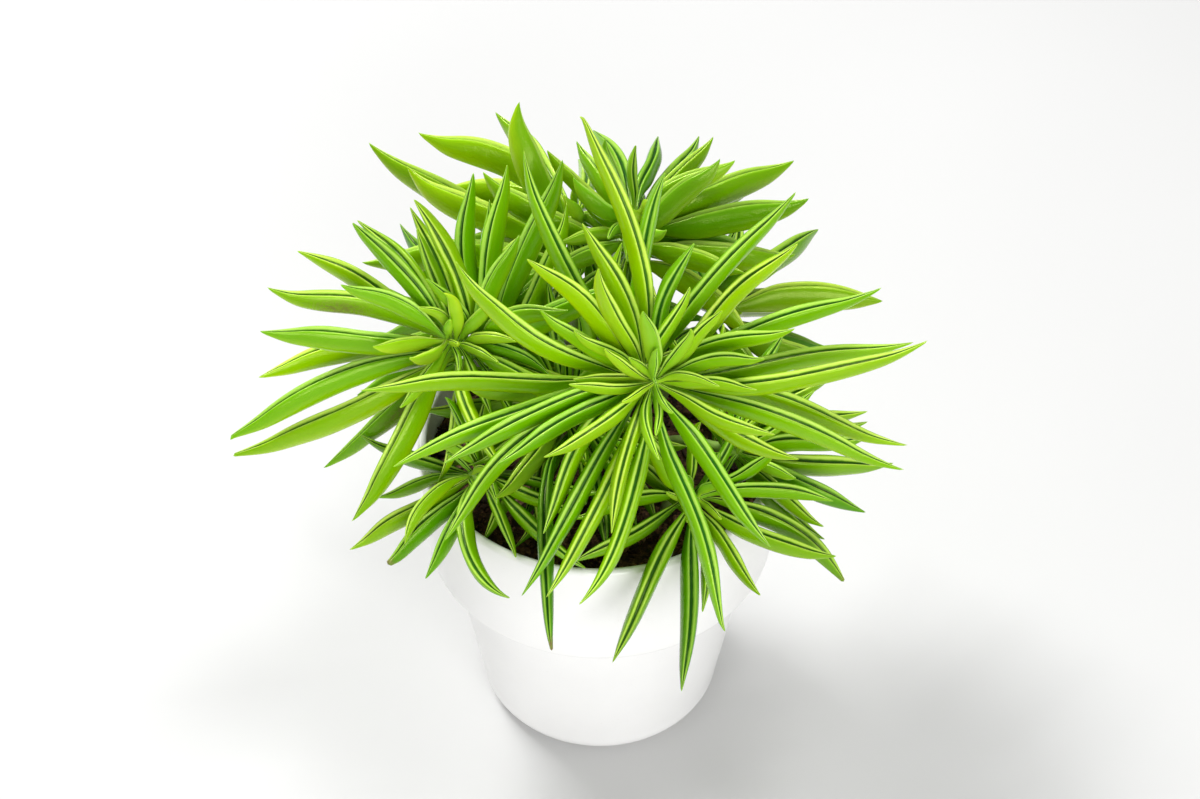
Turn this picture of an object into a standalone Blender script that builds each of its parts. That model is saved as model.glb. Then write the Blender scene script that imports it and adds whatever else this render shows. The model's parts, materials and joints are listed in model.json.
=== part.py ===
"""A potted peperomia: a ceramic cover pot, its soil, the plant's shoots and their pod-like leaves.

The frame's origin is the middle of the pot's flat bottom, +Z is up and -Y is the plant's front.
"""
import math

import bmesh
import bpy
import numpy as np

MM = 0.001

# Pot
RIM_RADIUS = 0.0675
POT_HEIGHT = 0.131
COLLAR_HEIGHT = 0.051
COLLAR_LOW_RADIUS = 0.0654
BODY_TOP_RADIUS = 0.0578
BASE_RADIUS = 0.0466
BASE_ROUND = 0.0090
LEDGE_ROUND = 0.0015
WALL = 0.0036
FLOOR = 0.0060
INNER_ROUND = 0.0060
INNER_SLOPE = 0.0040
POT_SEGMENTS = 40

# Soil
SOIL_DROP = 0.0125
SOIL_CROWN = 0.0010
SOIL_EDGE = 0.97
CLEARANCE = 0.0003
SOCKET_DEPTH = 0.0080

# Stems
STEM_RADIUS = 0.0024
STEM_TIP_RADIUS = 0.0014
STEM_SIDES = 8

# Leaves
LEAF_GROWTH = 1.0
LEAF_WIDTH = 0.0064
LEAF_DEPTH = 0.0100
PETIOLE_RADIUS = 0.0008
SKYWARD = 0.62
SWAY = 13.0
SWAY_TURNS = (1.7, 2.4)
SHORTEST_LEAF = 0.024
LEAF_NODES = 48
LEAF_RINGS = (0, 0.10, 0.28, 0.48, 0.68, 0.86)
LEAF_CORNERS = (55, 125, 200, 270, 340)
YOUNG_RINGS = (0, 0.18, 0.40, 0.64, 0.86)
YOUNG_CORNERS = (50, 130, 240, 300)

# Where leaves leave their stem: the first one below the tip, the steps down, the room between two
# bases in petiole radii, and the lowest place
FIRST_BASE = 0.0014
BASE_STEP = 0.0003
BASE_ROOM = 2.6
LOWEST_BASE = 0.060

# How leaves make room for each other
STATIONS = 14
LEAF_GAP = 0.0006
RIM_GAP = 0.0012
CLOSE_BY = 0.0175
ROUNDS = 170
MOST_ROUNDS = 260
LIST_EVERY = 5
SHARE_MOVED = 0.6
LONGEST_MOVE = 0.004
CROWDING = 0.6
STIFF_BASE = 0.08
TIP_FOLLOW = 0.6
MOST_FOLLOW = 3.0
HOLD = 0.05
SMOOTHING = 0.15

# How a leaf thins where it still presses on something
PRESS_STATIONS = 40
PRESS_GAP = 0.0005
PRESS_SPREAD = 5
THINNEST = 0.35

# A union leaves shells smaller than this, in cubic metres, where leaves only graze each other.
SLIVER = 1e-9

SOIL_TOP = POT_HEIGHT - SOIL_DROP

# Each shoot: its root (x, y) and the tip of its stem (x, y, height above the soil), in millimetres.
# Each leaf, from the youngest outward: its turn round the plant's forward-leaning axis, its lean
# away from that axis, both in degrees, its length in millimetres, its arch and its sideways bend.
SHOOTS = {
    "front": ((4, -2), (19, -50, 90), 0.95, [
        (80, 35, 20, 0, 0), (-20, 50, 16, 25, 0), (220, 45, 17, 10, 0),
        (67, 42, 30, 0, 0), (146, 50, 16, 10, 0), (-100, 45, 23, 5, 0),
        (130, 50, 24, 5, 0), (-4, 60, 23, 30, 0), (90, 45, 40, 0, 0),
        (174, 60, 27, 25, 0), (54, 50, 40, 0, 0), (-87, 55, 31, -5, 6),
        (144, 60, 34, 10, 0), (-4, 65, 36, 15, 0), (66, 52, 44, 5, -8),
        (182, 65, 30, -5, 0), (125, 54, 52, 0, -8), (17, 60, 42, 15, -8),
        (212, 65, 48, 5, 5), (-23, 65, 44, 5, 5), (64, 53, 57, 0, -5),
        (151, 68, 47, 0, 0), (107, 58, 64, -5, 5), (19, 65, 55, 5, 5),
        (-36, 75, 56, 0, -5), (206, 75, 60, 5, 8), (-103, 70, 54, 5, 8),
        (133, 63, 66, 0, 0), (52, 60, 76, 0, -4), (205, 80, 74, 5, 5),
        (-48, 80, 68, 5, -3), (142, 63, 80, 0, -3), (6, 85, 93, 10, 10),
        (-115, 75, 79, 5, -5), (54, 63, 85, 0, -4), (206, 86, 91, 5, 6),
        (30, 75, 87, 5, 3), (103, 62, 103, 0, 6), (-18, 85, 90, 5, -5),
        (83, 60, 82, 0, -3), (214, 84, 86, 5, 8), (-70, 78, 88, 5, 12),
        (183, 90, 96, 5, 4), (-108, 78, 80, 5, -28), (115, 74, 87, 0, -6),
        (-120, 95, 84, 10, -12), (9, 98, 94, 5, 4), (-13, 98, 92, 5, -5),
        (240, 85, 62, 0, 5), (90, 68, 52, 0, 0),
    ]),
    "left": ((-14, 4), (-55, -6, 68), 1.05, [
        (87, 35, 12, 0, 0), (-5, 35, 10, 25, 0), (-70, 45, 14, 25, 0),
        (168, 50, 20, 10, 0), (112, 55, 24, 0, 0), (200, 50, 22, 10, 0),
        (40, 55, 25, 15, 0), (15, 60, 25, 20, 0), (-25, 55, 21, 20, 0),
        (180, 65, 30, 5, 0), (223, 65, 30, 15, 10), (136, 65, 34, 0, 0),
        (-47, 70, 30, 5, 5), (90, 65, 44, 0, -3), (158, 70, 44, 5, 0),
        (-22, 70, 33, 20, 0), (139, 70, 58, 0, 0), (107, 68, 56, 0, 3),
        (38, 68, 47, 5, 8), (119, 68, 62, 0, 5), (101, 68, 66, 0, 0),
        (146, 72, 67, 0, 5), (10, 72, 48, 10, 0), (78, 70, 68, 5, 6),
        (175, 80, 68, 5, -4), (181, 82, 68, 12, 10), (31, 72, 62, 5, 5),
        (191, 86, 74, 8, 6), (66, 72, 78, 8, 8), (198, 88, 90, 8, 4),
        (232, 90, 72, 5, 0), (195, 95, 96, 8, 6), (64, 88, 62, 5, 5),
        (190, 102, 70, 10, 0), (219, 100, 76, 5, 0), (128, 92, 60, 0, 0),
        (155, 98, 64, 5, 0), (-35, 95, 56, 10, 0), (88, 95, 60, 0, 0),
        (0, 90, 56, 5, 0), (-75, 90, 50, 0, 0), (-50, 80, 42, 5, 0),
        (-20, 85, 60, 5, 0), (-100, 85, 52, 5, 0),
    ]),
    "back": ((4, 16), (13, 42, 86), 1.15, [
        (-80, 20, 16, 25, 0), (20, 25, 16, 30, 0), (110, 30, 16, 0, 0),
        (-60, 30, 22, 35, 0), (200, 30, 18, 35, 0), (60, 40, 24, 5, 0),
        (107, 60, 26, 0, -20), (-20, 45, 30, 30, 0), (160, 45, 28, 30, 0),
        (22, 70, 40, 20, 5), (135, 70, 30, 5, 0), (50, 75, 45, 5, -5),
        (118, 75, 34, 0, 5), (-160, 60, 40, 25, 0), (45, 82, 42, 5, 0),
        (116, 88, 42, 0, 5), (24, 80, 64, 10, 5), (-15, 75, 44, 15, 0),
        (141, 82, 44, 5, -6), (12, 88, 60, 5, 0), (144, 92, 60, 5, -6),
        (2, 88, 65, 5, 6), (68, 150, 46, 0, 0), (-9, 95, 57, 5, 0),
        (-60, 75, 42, 5, 0), (-105, 75, 42, 5, 0), (-35, 88, 52, 5, 0),
        (-140, 85, 48, 5, 0), (-80, 95, 52, 5, 0), (60, 140, 60, 0, 0),
        (105, 148, 60, 0, 0), (30, 138, 62, 0, 0), (125, 146, 64, 0, 0),
        (42, 148, 66, 0, 0), (80, 156, 70, 0, 0),
    ]),
    "back_left": ((-8, 22), (-9, 51, 77), 1.2, [
        (90, 30, 14, 0, 0), (-60, 35, 16, 25, 0), (190, 40, 18, 25, 0),
        (30, 45, 20, 15, 0), (130, 50, 22, 0, 0), (-100, 50, 24, 20, 0),
        (180, 60, 32, 15, 0), (-30, 60, 30, 15, 0), (150, 68, 38, 0, 0),
        (210, 70, 42, 5, 0), (128, 78, 58, 5, -6), (-70, 75, 42, 5, 0),
        (184, 80, 54, 5, 0), (132, 72, 70, 0, -4), (172, 88, 66, 5, 0),
        (-115, 82, 50, 5, 0), (141, 90, 92, 0, -5), (112, 152, 52, 0, 0),
        (181, 95, 78, 8, 5), (202, 95, 60, 5, 0), (-145, 88, 52, 5, 0),
        (134, 130, 66, 0, 0), (168, 116, 66, 0, 0), (118, 152, 66, 0, 0),
        (192, 118, 62, 0, 0),
    ]),
    "right": ((20, 2), (50, -30, 34), 1.1, [
        (60, 40, 12, 0, 0), (-60, 45, 12, 20, 0), (160, 45, 14, 10, 0),
        (29, 60, 24, 10, 0), (100, 55, 24, 0, 0), (-30, 60, 26, 10, 0),
        (35, 70, 36, 5, 0), (75, 70, 34, 0, 0), (-38, 85, 40, 5, 5),
        (-4, 80, 48, 5, 0), (25, 85, 48, 5, 0), (-15, 88, 52, 5, -5),
        (18, 92, 54, 5, 0), (60, 90, 48, 0, 0), (-2, 100, 64, 5, 0),
        (-52, 95, 46, 5, 5), (35, 108, 60, 0, 0), (10, 112, 62, 0, 0),
        (90, 85, 44, 0, 0), (130, 80, 40, 0, 0),
    ]),
    "front_left": ((-18, -18), (-47, -34, 27), 1.0, [
        (60, 35, 12, 0, 0), (190, 45, 14, 10, 0), (-60, 45, 14, 10, 0),
        (154, 55, 26, 0, 0), (-79, 60, 20, 0, 0), (40, 60, 26, 0, 0),
        (181, 75, 38, 5, 0), (-51, 75, 34, 0, 0), (-130, 80, 34, 20, 15),
        (110, 70, 36, 0, 0), (209, 85, 52, 5, 5), (-80, 88, 54, 22, 30),
        (-106, 92, 50, 8, 0), (165, 95, 50, 0, 0), (-25, 90, 46, 5, 0),
        (90, 60, 33, 0, 0), (-36, 92, 52, 5, 0), (-8, 82, 46, 0, 0),
        (-86, 96, 44, 20, 10),
    ]),
    "middle": ((-4, -10), (-14, -14, 46), 1.05, [
        (90, 20, 14, 0, 0), (200, 30, 14, 0, 0), (-40, 35, 14, 0, 0),
        (120, 40, 30, 0, 0), (60, 40, 28, 0, 0), (180, 50, 30, 0, 0),
        (95, 50, 40, 0, 0), (150, 60, 44, 0, 0), (40, 55, 40, 0, 0),
        (-110, 80, 50, 0, -10), (200, 70, 42, 0, 0), (-90, 90, 52, 5, 0),
        (-20, 75, 42, 5, 0), (-50, 80, 44, 5, 0), (130, 75, 48, 0, 0),
        (-150, 85, 50, 5, 0), (60, 75, 46, 0, 0), (160, 82, 42, 0, 0),
        (15, 85, 46, 0, 0), (-130, 92, 54, 5, 0), (-70, 96, 50, 5, 0),
        (100, 82, 46, 0, 0), (-96, 82, 94, 22, 4), (-40, 90, 56, 5, 0),
        (75, 90, 52, 5, 0), (40, 85, 50, 5, 0), (180, 95, 52, 5, 0),
        (-120, 68, 40, 0, 0), (-75, 66, 38, 0, 0), (-5, 74, 46, 0, 0),
        (-55, 62, 36, 0, 0), (15, 60, 42, 0, 0), (-104, 104, 44, 5, 0),
        (-58, 104, 46, 5, 0), (-82, 104, 52, 12, 0), (-28, 98, 52, 5, 0),
        (-118, 100, 50, 5, 0),
    ]),
    "low_front": ((24, -26), (35, -45, 27), 1.0, [
        (60, 30, 12, 20, 0), (180, 35, 12, 20, 0), (-60, 40, 14, 20, 0),
        (120, 45, 16, 0, 0), (0, 50, 18, 10, 0), (-120, 50, 16, 10, 0),
        (60, 60, 22, 5, 0), (-90, 85, 40, 15, 0), (-12, 85, 48, 5, -5),
        (-53, 88, 56, 15, 8), (-40, 92, 64, 15, 8), (-119, 88, 62, 34, -10),
        (-121, 90, 66, 36, -2), (90, 60, 34, 0, 0), (55, 72, 40, 0, 0),
        (120, 72, 38, 0, 0), (25, 74, 38, 0, 0), (-150, 84, 50, 5, 0),
        (-168, 80, 46, 5, 0), (165, 72, 44, 0, 0), (-75, 92, 46, 10, 0),
    ]),
    "rear_right": ((22, 26), (47, 44, 38), 1.2, [
        (90, 60, 14, 0, 0), (10, 50, 14, 0, 0), (160, 50, 14, 0, 0),
        (19, 70, 34, 5, 0), (120, 70, 32, 0, 0), (60, 80, 36, 5, 0),
        (-16, 85, 54, 5, 0), (8, 85, 62, 5, 6), (-50, 80, 44, 5, 0),
        (170, 75, 44, 5, 0), (40, 138, 58, 0, 0), (-130, 80, 44, 5, 0),
        (80, 112, 50, 0, 0), (10, 130, 62, 5, 0), (58, 150, 66, 0, 0),
        (-90, 85, 46, 5, 0), (-6, 122, 60, 5, 0), (100, 142, 62, 0, 0),
    ]),
    "rear_left": ((-24, 22), (-46, 46, 30), 1.1, [
        (90, 60, 14, 0, 0), (170, 50, 14, 0, 0), (20, 50, 14, 0, 0),
        (120, 80, 34, 5, 0), (180, 80, 38, 5, 0), (70, 80, 36, 0, 0),
        (20, 80, 44, 5, 0), (-40, 85, 44, 5, 0), (-110, 85, 44, 5, 0),
        (150, 98, 54, 5, 0), (195, 98, 56, 5, 0), (100, 112, 54, 0, 0),
        (165, 115, 64, 5, 0), (130, 126, 64, 5, 0), (185, 118, 62, 0, 0),
        (80, 132, 60, 0, 0),
    ]),
}

# The axis that the leaves' turn and lean are measured from leans towards the plant's front.
AXIS_TILT = math.radians(45)
FORWARD = np.array((0, -math.sin(AXIS_TILT), math.cos(AXIS_TILT)))
RIGHT = np.array((1.0, 0.0, 0.0))
UPWARD = np.cross(FORWARD, RIGHT)


def unit(v):
    return v / np.linalg.norm(v, axis=-1, keepdims=True)


def stem_line(root, tip, count=25):
    """Points up a stem, from the soil's top to its growing tip."""
    start = np.array((*root, SOIL_TOP / MM), float)
    end = np.array((tip[0], tip[1], SOIL_TOP / MM + tip[2]), float)
    bend = start + (end - start) * (0.15, 0.15, 0.6)
    t = np.linspace(0, 1, count)[:, None]
    return ((1 - t) ** 2 * start + 2 * t * (1 - t) * bend + t**2 * end) * MM


def below_tip(line, distance):
    """The point of the stem at this distance below its tip, and the stem's direction there."""
    steps = np.linalg.norm(np.diff(line, axis=0), axis=1)
    run = np.concatenate([[0], np.cumsum(steps)])
    at = max(run[-1] - distance, 0.2 * run[-1])
    point = np.array([np.interp(at, run, line[:, i]) for i in range(3)])
    k = min(np.searchsorted(run, at, side="right"), len(steps)) - 1
    return point, unit(line[k + 1] - line[k])


def leaf_line(base, axis, leaf):
    """Points along a leaf: a cubic curve that starts a little towards the stem's axis."""
    turn, lean, length, arch, bend = leaf
    a, b = math.radians(turn), math.radians(lean)
    chord = math.cos(b) * FORWARD + math.sin(b) * (math.cos(a) * RIGHT + math.sin(a) * UPWARD)
    side = unit(np.cross(axis, chord))
    up = np.cross(chord, side)
    rise, sway = math.tan(math.radians(arch + 6)), math.tan(math.radians(bend))
    length = length * MM * LEAF_GROWTH
    out = unit(chord + rise * up - sway * side)
    back = unit(chord - rise * up + sway * side)
    end = base + length * chord
    t = np.linspace(0, 1, STATIONS)[:, None]
    handle_a, handle_b = base + length / 3 * out, end - length / 3 * back
    return (
        (1 - t) ** 3 * base + 3 * t * (1 - t) ** 2 * handle_a
        + 3 * t**2 * (1 - t) * handle_b + t**3 * end
    )


def half_sizes(length, stoutness, t):
    """Half the width and half the depth of a leaf of this length, at shares t of its length."""
    grown = stoutness * np.minimum(1, 0.16 + length / 0.062 * 0.84)
    rise = np.clip(t / 0.42, 0, 1)
    fall = np.clip((t - 0.56) / 0.44, 0, 1)
    fullness = (0.14 + 0.86 * rise**2 * (3 - 2 * rise)) * (1 - fall**2.2)
    taper = np.clip((1 - t) / 0.10, 0, 1) ** 0.5
    width = np.maximum(LEAF_WIDTH / 2 * grown * fullness, PETIOLE_RADIUS * taper)
    depth = np.maximum(LEAF_DEPTH / 2 * grown * fullness, PETIOLE_RADIUS * taper)
    return width, depth


def grow():
    """Every leaf of every shoot where it grows, before the leaves make room for each other."""
    leaves = []
    for shoot, (root, tip, stoutness, rows) in SHOOTS.items():
        line = stem_line(root, tip)
        taken = []
        for number, (turn, lean, length, arch, bend) in enumerate(rows):
            arch += SWAY * math.cos(SWAY_TURNS[0] * number)
            bend += SWAY * math.sin(SWAY_TURNS[1] * number)
            distance = FIRST_BASE
            while True:
                base, axis = below_tip(line, distance)
                above = unit((1 - SKYWARD) * axis + SKYWARD * np.array((0, 0, 1)))
                points = leaf_line(base, above, (turn, lean, length, arch, bend))
                out = points[1] - base
                out = unit(out - axis * (out @ axis))
                mark = base + out * STEM_RADIUS
                apart = BASE_ROOM * PETIOLE_RADIUS * min(1, 0.45 + length / 60)
                if all(np.linalg.norm(mark - other) > apart for other in taken):
                    break
                distance += BASE_STEP
                if distance > LOWEST_BASE:
                    break
            taken.append(mark)
            leaves.append({
                "name": f"{shoot}_leaf_{number + 1:02d}", "shoot": shoot, "points": points,
                "axis": above, "length": length * MM * LEAF_GROWTH, "stoutness": stoutness,
            })
    return leaves


def frames(points, axes):
    """Tangent, sideways and upward directions at every station; up is the side that faces the axis."""
    tangent = unit(np.gradient(points, axis=1))
    middle = STATIONS // 2
    side = np.empty_like(tangent)
    side[:, middle] = unit(np.cross(axes, tangent[:, middle]))
    # From its middle the leaf keeps its side towards both ends, without a twist.
    for k in (*range(middle + 1, STATIONS), *range(middle - 1, -1, -1)):
        near = side[:, k - 1] if k > middle else side[:, k + 1]
        along = (near * tangent[:, k]).sum(-1, keepdims=True)
        side[:, k] = unit(near - tangent[:, k] * along)
    return tangent, side, np.cross(tangent, side)


def make_room(leaves):
    """Bends the leaves apart until none runs through another, a stem, the soil or the pot."""
    points = np.array([leaf["points"] for leaf in leaves])
    axes = np.array([leaf["axis"] for leaf in leaves])
    lengths = np.array([leaf["length"] for leaf in leaves])
    count = len(leaves)
    t = np.linspace(0, 1, STATIONS)
    sizes = [half_sizes(leaf["length"], leaf["stoutness"], t) for leaf in leaves]
    width = np.array([s[0] for s in sizes])
    depth = np.array([s[1] for s in sizes])
    step = np.linalg.norm(np.diff(points, axis=1), axis=2)
    reach = lengths[:, None] / (STATIONS - 1) * 0.55 * np.ones((1, STATIONS))
    owner = np.repeat(np.arange(count), STATIONS)
    # A push on one station turns the whole leaf about its base and bends what is past the push.
    ratio = t[:, None] / np.maximum(t[None, :], STIFF_BASE)
    sway = np.where(ratio < 1, ratio, np.minimum(1 + (ratio - 1) * TIP_FOLLOW, MOST_FOLLOW))
    stems = [stem_line(root, tip, 40) for root, tip, _, _ in SHOOTS.values()]
    stem_points = np.concatenate(stems)
    stem_owner = np.repeat(np.arange(len(stems)), 40)
    shoot_of = np.array([list(SHOOTS).index(leaf["shoot"]) for leaf in leaves])
    home = points.copy()
    for turn in range(MOST_ROUNDS):
        tangent, side, up = frames(points, axes)
        flat = points.reshape(-1, 3)
        if turn % LIST_EVERY == 0:
            square = (flat**2).sum(1)
            near = square[:, None] + square[None, :] - 2 * flat @ flat.T < CLOSE_BY**2
            near &= owner[:, None] < owner[None, :]
            first, second = np.nonzero(near)
            inner = (first % STATIONS > 0) & (second % STATIONS > 0)
            first, second = first[inner], second[inner]
        between = flat[second] - flat[first]
        distance = np.linalg.norm(between, axis=1)
        between = between / np.maximum(distance, 1e-6)[:, None]

        def support(index):
            return np.sqrt(
                (width.reshape(-1)[index] * (between * side.reshape(-1, 3)[index]).sum(1)) ** 2
                + (depth.reshape(-1)[index] * (between * up.reshape(-1, 3)[index]).sum(1)) ** 2
                + (reach.reshape(-1)[index] * (between * tangent.reshape(-1, 3)[index]).sum(1)) ** 2
            )

        needed = support(first) + support(second)
        missing = needed + LEAF_GAP - distance
        if turn >= ROUNDS and (distance > THINNEST * needed).all():
            break
        hit = missing > 0
        push = np.zeros_like(flat)
        hits = np.zeros(len(flat))
        shove = between[hit] * missing[hit, None] / 2
        np.add.at(push, first[hit], -shove)
        np.add.at(push, second[hit], shove)
        np.add.at(hits, first[hit], 1)
        np.add.at(hits, second[hit], 1)

        # Stems
        gap = flat[:, None, :] - stem_points[None, :, :]
        away = np.linalg.norm(gap, axis=2)
        own = shoot_of[owner][:, None] == stem_owner[None, :]
        early = (np.arange(len(flat)) % STATIONS < 4)[:, None]
        away = np.where(own & early, 1.0, away)
        nearest = away.argmin(1)
        away = away[np.arange(len(flat)), nearest]
        gap = gap[np.arange(len(flat)), nearest] / np.maximum(away, 1e-6)[:, None]
        lack = STEM_RADIUS + depth.reshape(-1) * 0.8 + LEAF_GAP - away
        touch = (lack > 0) & (np.arange(len(flat)) % STATIONS > 0)
        push[touch] += gap[touch] * lack[touch, None]
        hits[touch] += 1

        # Soil and pot
        half = np.maximum(width, depth).reshape(-1)
        radius = np.hypot(flat[:, 0], flat[:, 1])
        outward = np.stack([flat[:, 0], flat[:, 1], 0 * radius], 1) / np.maximum(radius, 1e-6)[:, None]
        low = SOIL_TOP + SOIL_CROWN + half + LEAF_GAP - flat[:, 2]
        low = np.where(radius < RIM_RADIUS - WALL, low, 0)
        over_rim = POT_HEIGHT + half + RIM_GAP - flat[:, 2]
        on_rim = (radius > RIM_RADIUS - WALL - half - LEAF_GAP) & (radius < RIM_RADIUS - WALL / 4)
        low = np.maximum(low, np.where(on_rim, over_rim, 0))
        beside = (radius >= RIM_RADIUS - WALL / 4) & (over_rim > 0)
        aside = np.where(beside, RIM_RADIUS + half + RIM_GAP - radius, 0)
        flag = (low > 0) | (aside > 0)
        push[:, 2] += np.maximum(low, 0)
        push += outward * np.maximum(aside, 0)[:, None]
        hits[flag] += 1

        push = (push / np.maximum(hits, 1)[:, None]).reshape(count, STATIONS, 3)
        touched = (hits.reshape(count, STATIONS) > 0).sum(1)
        moved = np.einsum("km,imj->ikj", sway, push)
        moved = moved / np.maximum(touched, 1)[:, None, None] ** CROWDING
        moved = np.clip(moved, -LONGEST_MOVE, LONGEST_MOVE)
        hold = HOLD * max(0, 1 - 2 * turn / ROUNDS)
        points = points + SHARE_MOVED * moved + hold * (home - points)
        ways = unit(np.diff(points, axis=1))
        smooth = ways.copy()
        neighbours = SMOOTHING * (ways[:, :-2] + ways[:, 2:])
        smooth[:, 1:-1] = unit(neighbours + (1 - 2 * SMOOTHING) * ways[:, 1:-1])
        runs = np.cumsum(smooth * step[:, :, None], axis=1)
        points = np.concatenate([points[:, :1], points[:, :1] + runs], axis=1)
    for leaf, line in zip(leaves, points):
        leaf["points"] = line
    return leaves


def leaf_nodes(leaves):
    """The names of the longest leaves, which are sub-parts of their own."""
    by_length = sorted(leaves, key=lambda leaf: -leaf["length"])
    return {leaf["name"] for leaf in by_length[:LEAF_NODES]}


def finer(rows):
    """Rows of vectors at the layout's stations, read at the closer stations of the pressing."""
    known, wanted = np.linspace(0, 1, STATIONS), np.linspace(0, 1, PRESS_STATIONS)
    return np.stack(
        [[np.interp(wanted, known, row[:, i]) for row in rows] for i in range(3)], axis=-1
    )


def pressing_pairs(leaves, lines, size):
    """Stations of two leaves of different sub-parts that are close enough to touch."""
    alone = leaf_nodes(leaves)
    node = [leaf["name"] if leaf["name"] in alone else leaf["shoot"] for leaf in leaves]
    middle = lines.mean(axis=1)
    radius = (np.linalg.norm(lines - middle[:, None], axis=2) + size).max(axis=1) + PRESS_GAP
    free = np.linalg.norm(lines - lines[:, :1], axis=2) > STEM_RADIUS
    first, second = [], []
    for i in range(len(leaves)):
        apart = np.linalg.norm(middle - middle[i], axis=1)
        for j in range(i + 1, len(leaves)):
            if node[i] == node[j] or apart[j] > radius[i] + radius[j]:
                continue
            gap = np.linalg.norm(lines[j][None] - lines[i][:, None], axis=2)
            touch = gap < size[i][:, None] + size[j][None] + PRESS_GAP
            a, b = np.nonzero(touch & free[i][:, None] & free[j][None])
            first.append(i * PRESS_STATIONS + a)
            second.append(j * PRESS_STATIONS + b)
    return np.concatenate(first), np.concatenate(second)


def thin(leaves):
    """Thins each leaf where it still presses on a neighbour, a stem or the soil."""
    points = np.array([leaf["points"] for leaf in leaves])
    _, side, up = frames(points, np.array([leaf["axis"] for leaf in leaves]))
    lines = finer(points)
    side, up, flat = finer(side).reshape(-1, 3), finer(up).reshape(-1, 3), lines.reshape(-1, 3)
    t = np.linspace(0, 1, PRESS_STATIONS)
    sizes = [half_sizes(leaf["length"], leaf["stoutness"], t) for leaf in leaves]
    width = np.concatenate([wide for wide, _ in sizes])
    depth = np.concatenate([deep for _, deep in sizes])
    slim = np.ones(len(flat))

    def support(index, way):
        across = width[index] * (way * side[index]).sum(1)
        return np.hypot(across, depth[index] * (way * up[index]).sum(1))

    def press(index, room, needed):
        """Thins these stations to the share of the needed room that there is."""
        share = np.clip(room / np.maximum(needed, PETIOLE_RADIUS / 2), THINNEST, 1)
        np.minimum.at(slim, index, share)

    size = np.maximum(width, depth).reshape(lines.shape[:2])
    first, second = pressing_pairs(leaves, lines, size)
    way = flat[second] - flat[first]
    distance = np.linalg.norm(way, axis=1)
    way = way / np.maximum(distance, 1e-9)[:, None]
    needed = support(first, way) + support(second, way)
    press(first, distance - PRESS_GAP, needed)
    press(second, distance - PRESS_GAP, needed)
    shoot = np.repeat([leaf["shoot"] for leaf in leaves], PRESS_STATIONS)
    for name, (root, tip, _, _) in SHOOTS.items():
        line = stem_line(root, tip, 40)
        others = np.nonzero(shoot != name)[0]
        way = line[None] - flat[others][:, None]
        distance = np.linalg.norm(way, axis=2)
        nearest = distance.argmin(axis=1)
        rows = np.arange(len(others))
        distance = distance[rows, nearest]
        way = way[rows, nearest] / np.maximum(distance, 1e-9)[:, None]
        press(others, distance - STEM_RADIUS - PRESS_GAP, support(others, way))
    above_soil = np.nonzero(np.hypot(flat[:, 0], flat[:, 1]) < RIM_RADIUS - WALL)[0]
    down = np.tile((0.0, 0.0, -1.0), (len(above_soil), 1))
    room = flat[above_soil, 2] - SOIL_TOP - SOIL_CROWN - PRESS_GAP
    press(above_soil, room, support(above_soil, down))
    slim = slim.reshape(lines.shape[:2])
    ends = ((0, 0), (PRESS_SPREAD, PRESS_SPREAD))
    count = 2 * PRESS_SPREAD + 1
    padded = np.pad(slim, ends, mode="edge")
    least = np.min([padded[:, k:k + PRESS_STATIONS] for k in range(count)], axis=0)
    padded = np.pad(least, ends, mode="edge")
    even = np.mean([padded[:, k:k + PRESS_STATIONS] for k in range(count)], axis=0)
    for leaf, row in zip(leaves, np.minimum(even, slim)):
        leaf["slim"] = row
    return leaves


def pod_sizes(leaf, at):
    """Half the width and half the depth of a settled leaf at these shares of its length."""
    width, depth = half_sizes(leaf["length"], leaf["stoutness"], at)
    slim = np.interp(at, np.linspace(0, 1, PRESS_STATIONS), leaf["slim"])
    return width * slim, depth * slim


def loft(rings, tip):
    """A closed mesh over rings of points, with a flat start and a pointed end."""
    sides = len(rings[0])
    vertices = [tuple(p) for ring in rings for p in ring] + [tuple(tip)]
    faces = [tuple(reversed(range(sides)))]
    for k in range(len(rings) - 1):
        for i in range(sides):
            j = (i + 1) % sides
            faces.append((k * sides + i, k * sides + j, (k + 1) * sides + j, (k + 1) * sides + i))
    last = (len(rings) - 1) * sides
    faces += [(last + i, last + (i + 1) % sides, last + sides) for i in range(sides)]
    return vertices, faces


def leaf_mesh(leaf, start, shares, corners):
    """Vertices and faces of one leaf from this share of its length outward."""
    line = leaf["points"]
    tangent, side, up = (f[0] for f in frames(line[None], leaf["axis"][None]))
    t = np.linspace(0, 1, STATIONS)
    rings = []
    for share in shares:
        at = start + (1 - start) * share
        centre, sideways, upwards = (
            np.array([np.interp(at, t, rows[:, i]) for i in range(3)]) for rows in (line, side, up)
        )
        half_width, half_depth = pod_sizes(leaf, np.array(at))
        rings.append([
            centre + math.cos(a) * half_width * unit(sideways) + math.sin(a) * half_depth * unit(upwards)
            for a in map(math.radians, corners)
        ])
    return loft(rings, line[-1])


def mesh_object(name, vertices, faces, material, helper=False):
    mesh = bpy.data.meshes.new(name)
    mesh.from_pydata([tuple(map(float, v)) for v in vertices], [], faces)
    mesh.update()
    thing = bpy.data.objects.new(name, mesh)
    mesh.materials.append(material)
    if helper:
        thing.hide_render = True
        thing.display_type = "WIRE"
    else:
        bpy.context.scene.collection.objects.link(thing)
    return thing


def paint(name, colour, roughness):
    material = bpy.data.materials.new(name)
    material.use_nodes = True
    shader = material.node_tree.nodes["Principled BSDF"]
    shader.inputs["Base Color"].default_value = (*colour, 1)
    shader.inputs["Roughness"].default_value = roughness
    shader.inputs["Metallic"].default_value = 0
    return material


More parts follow.
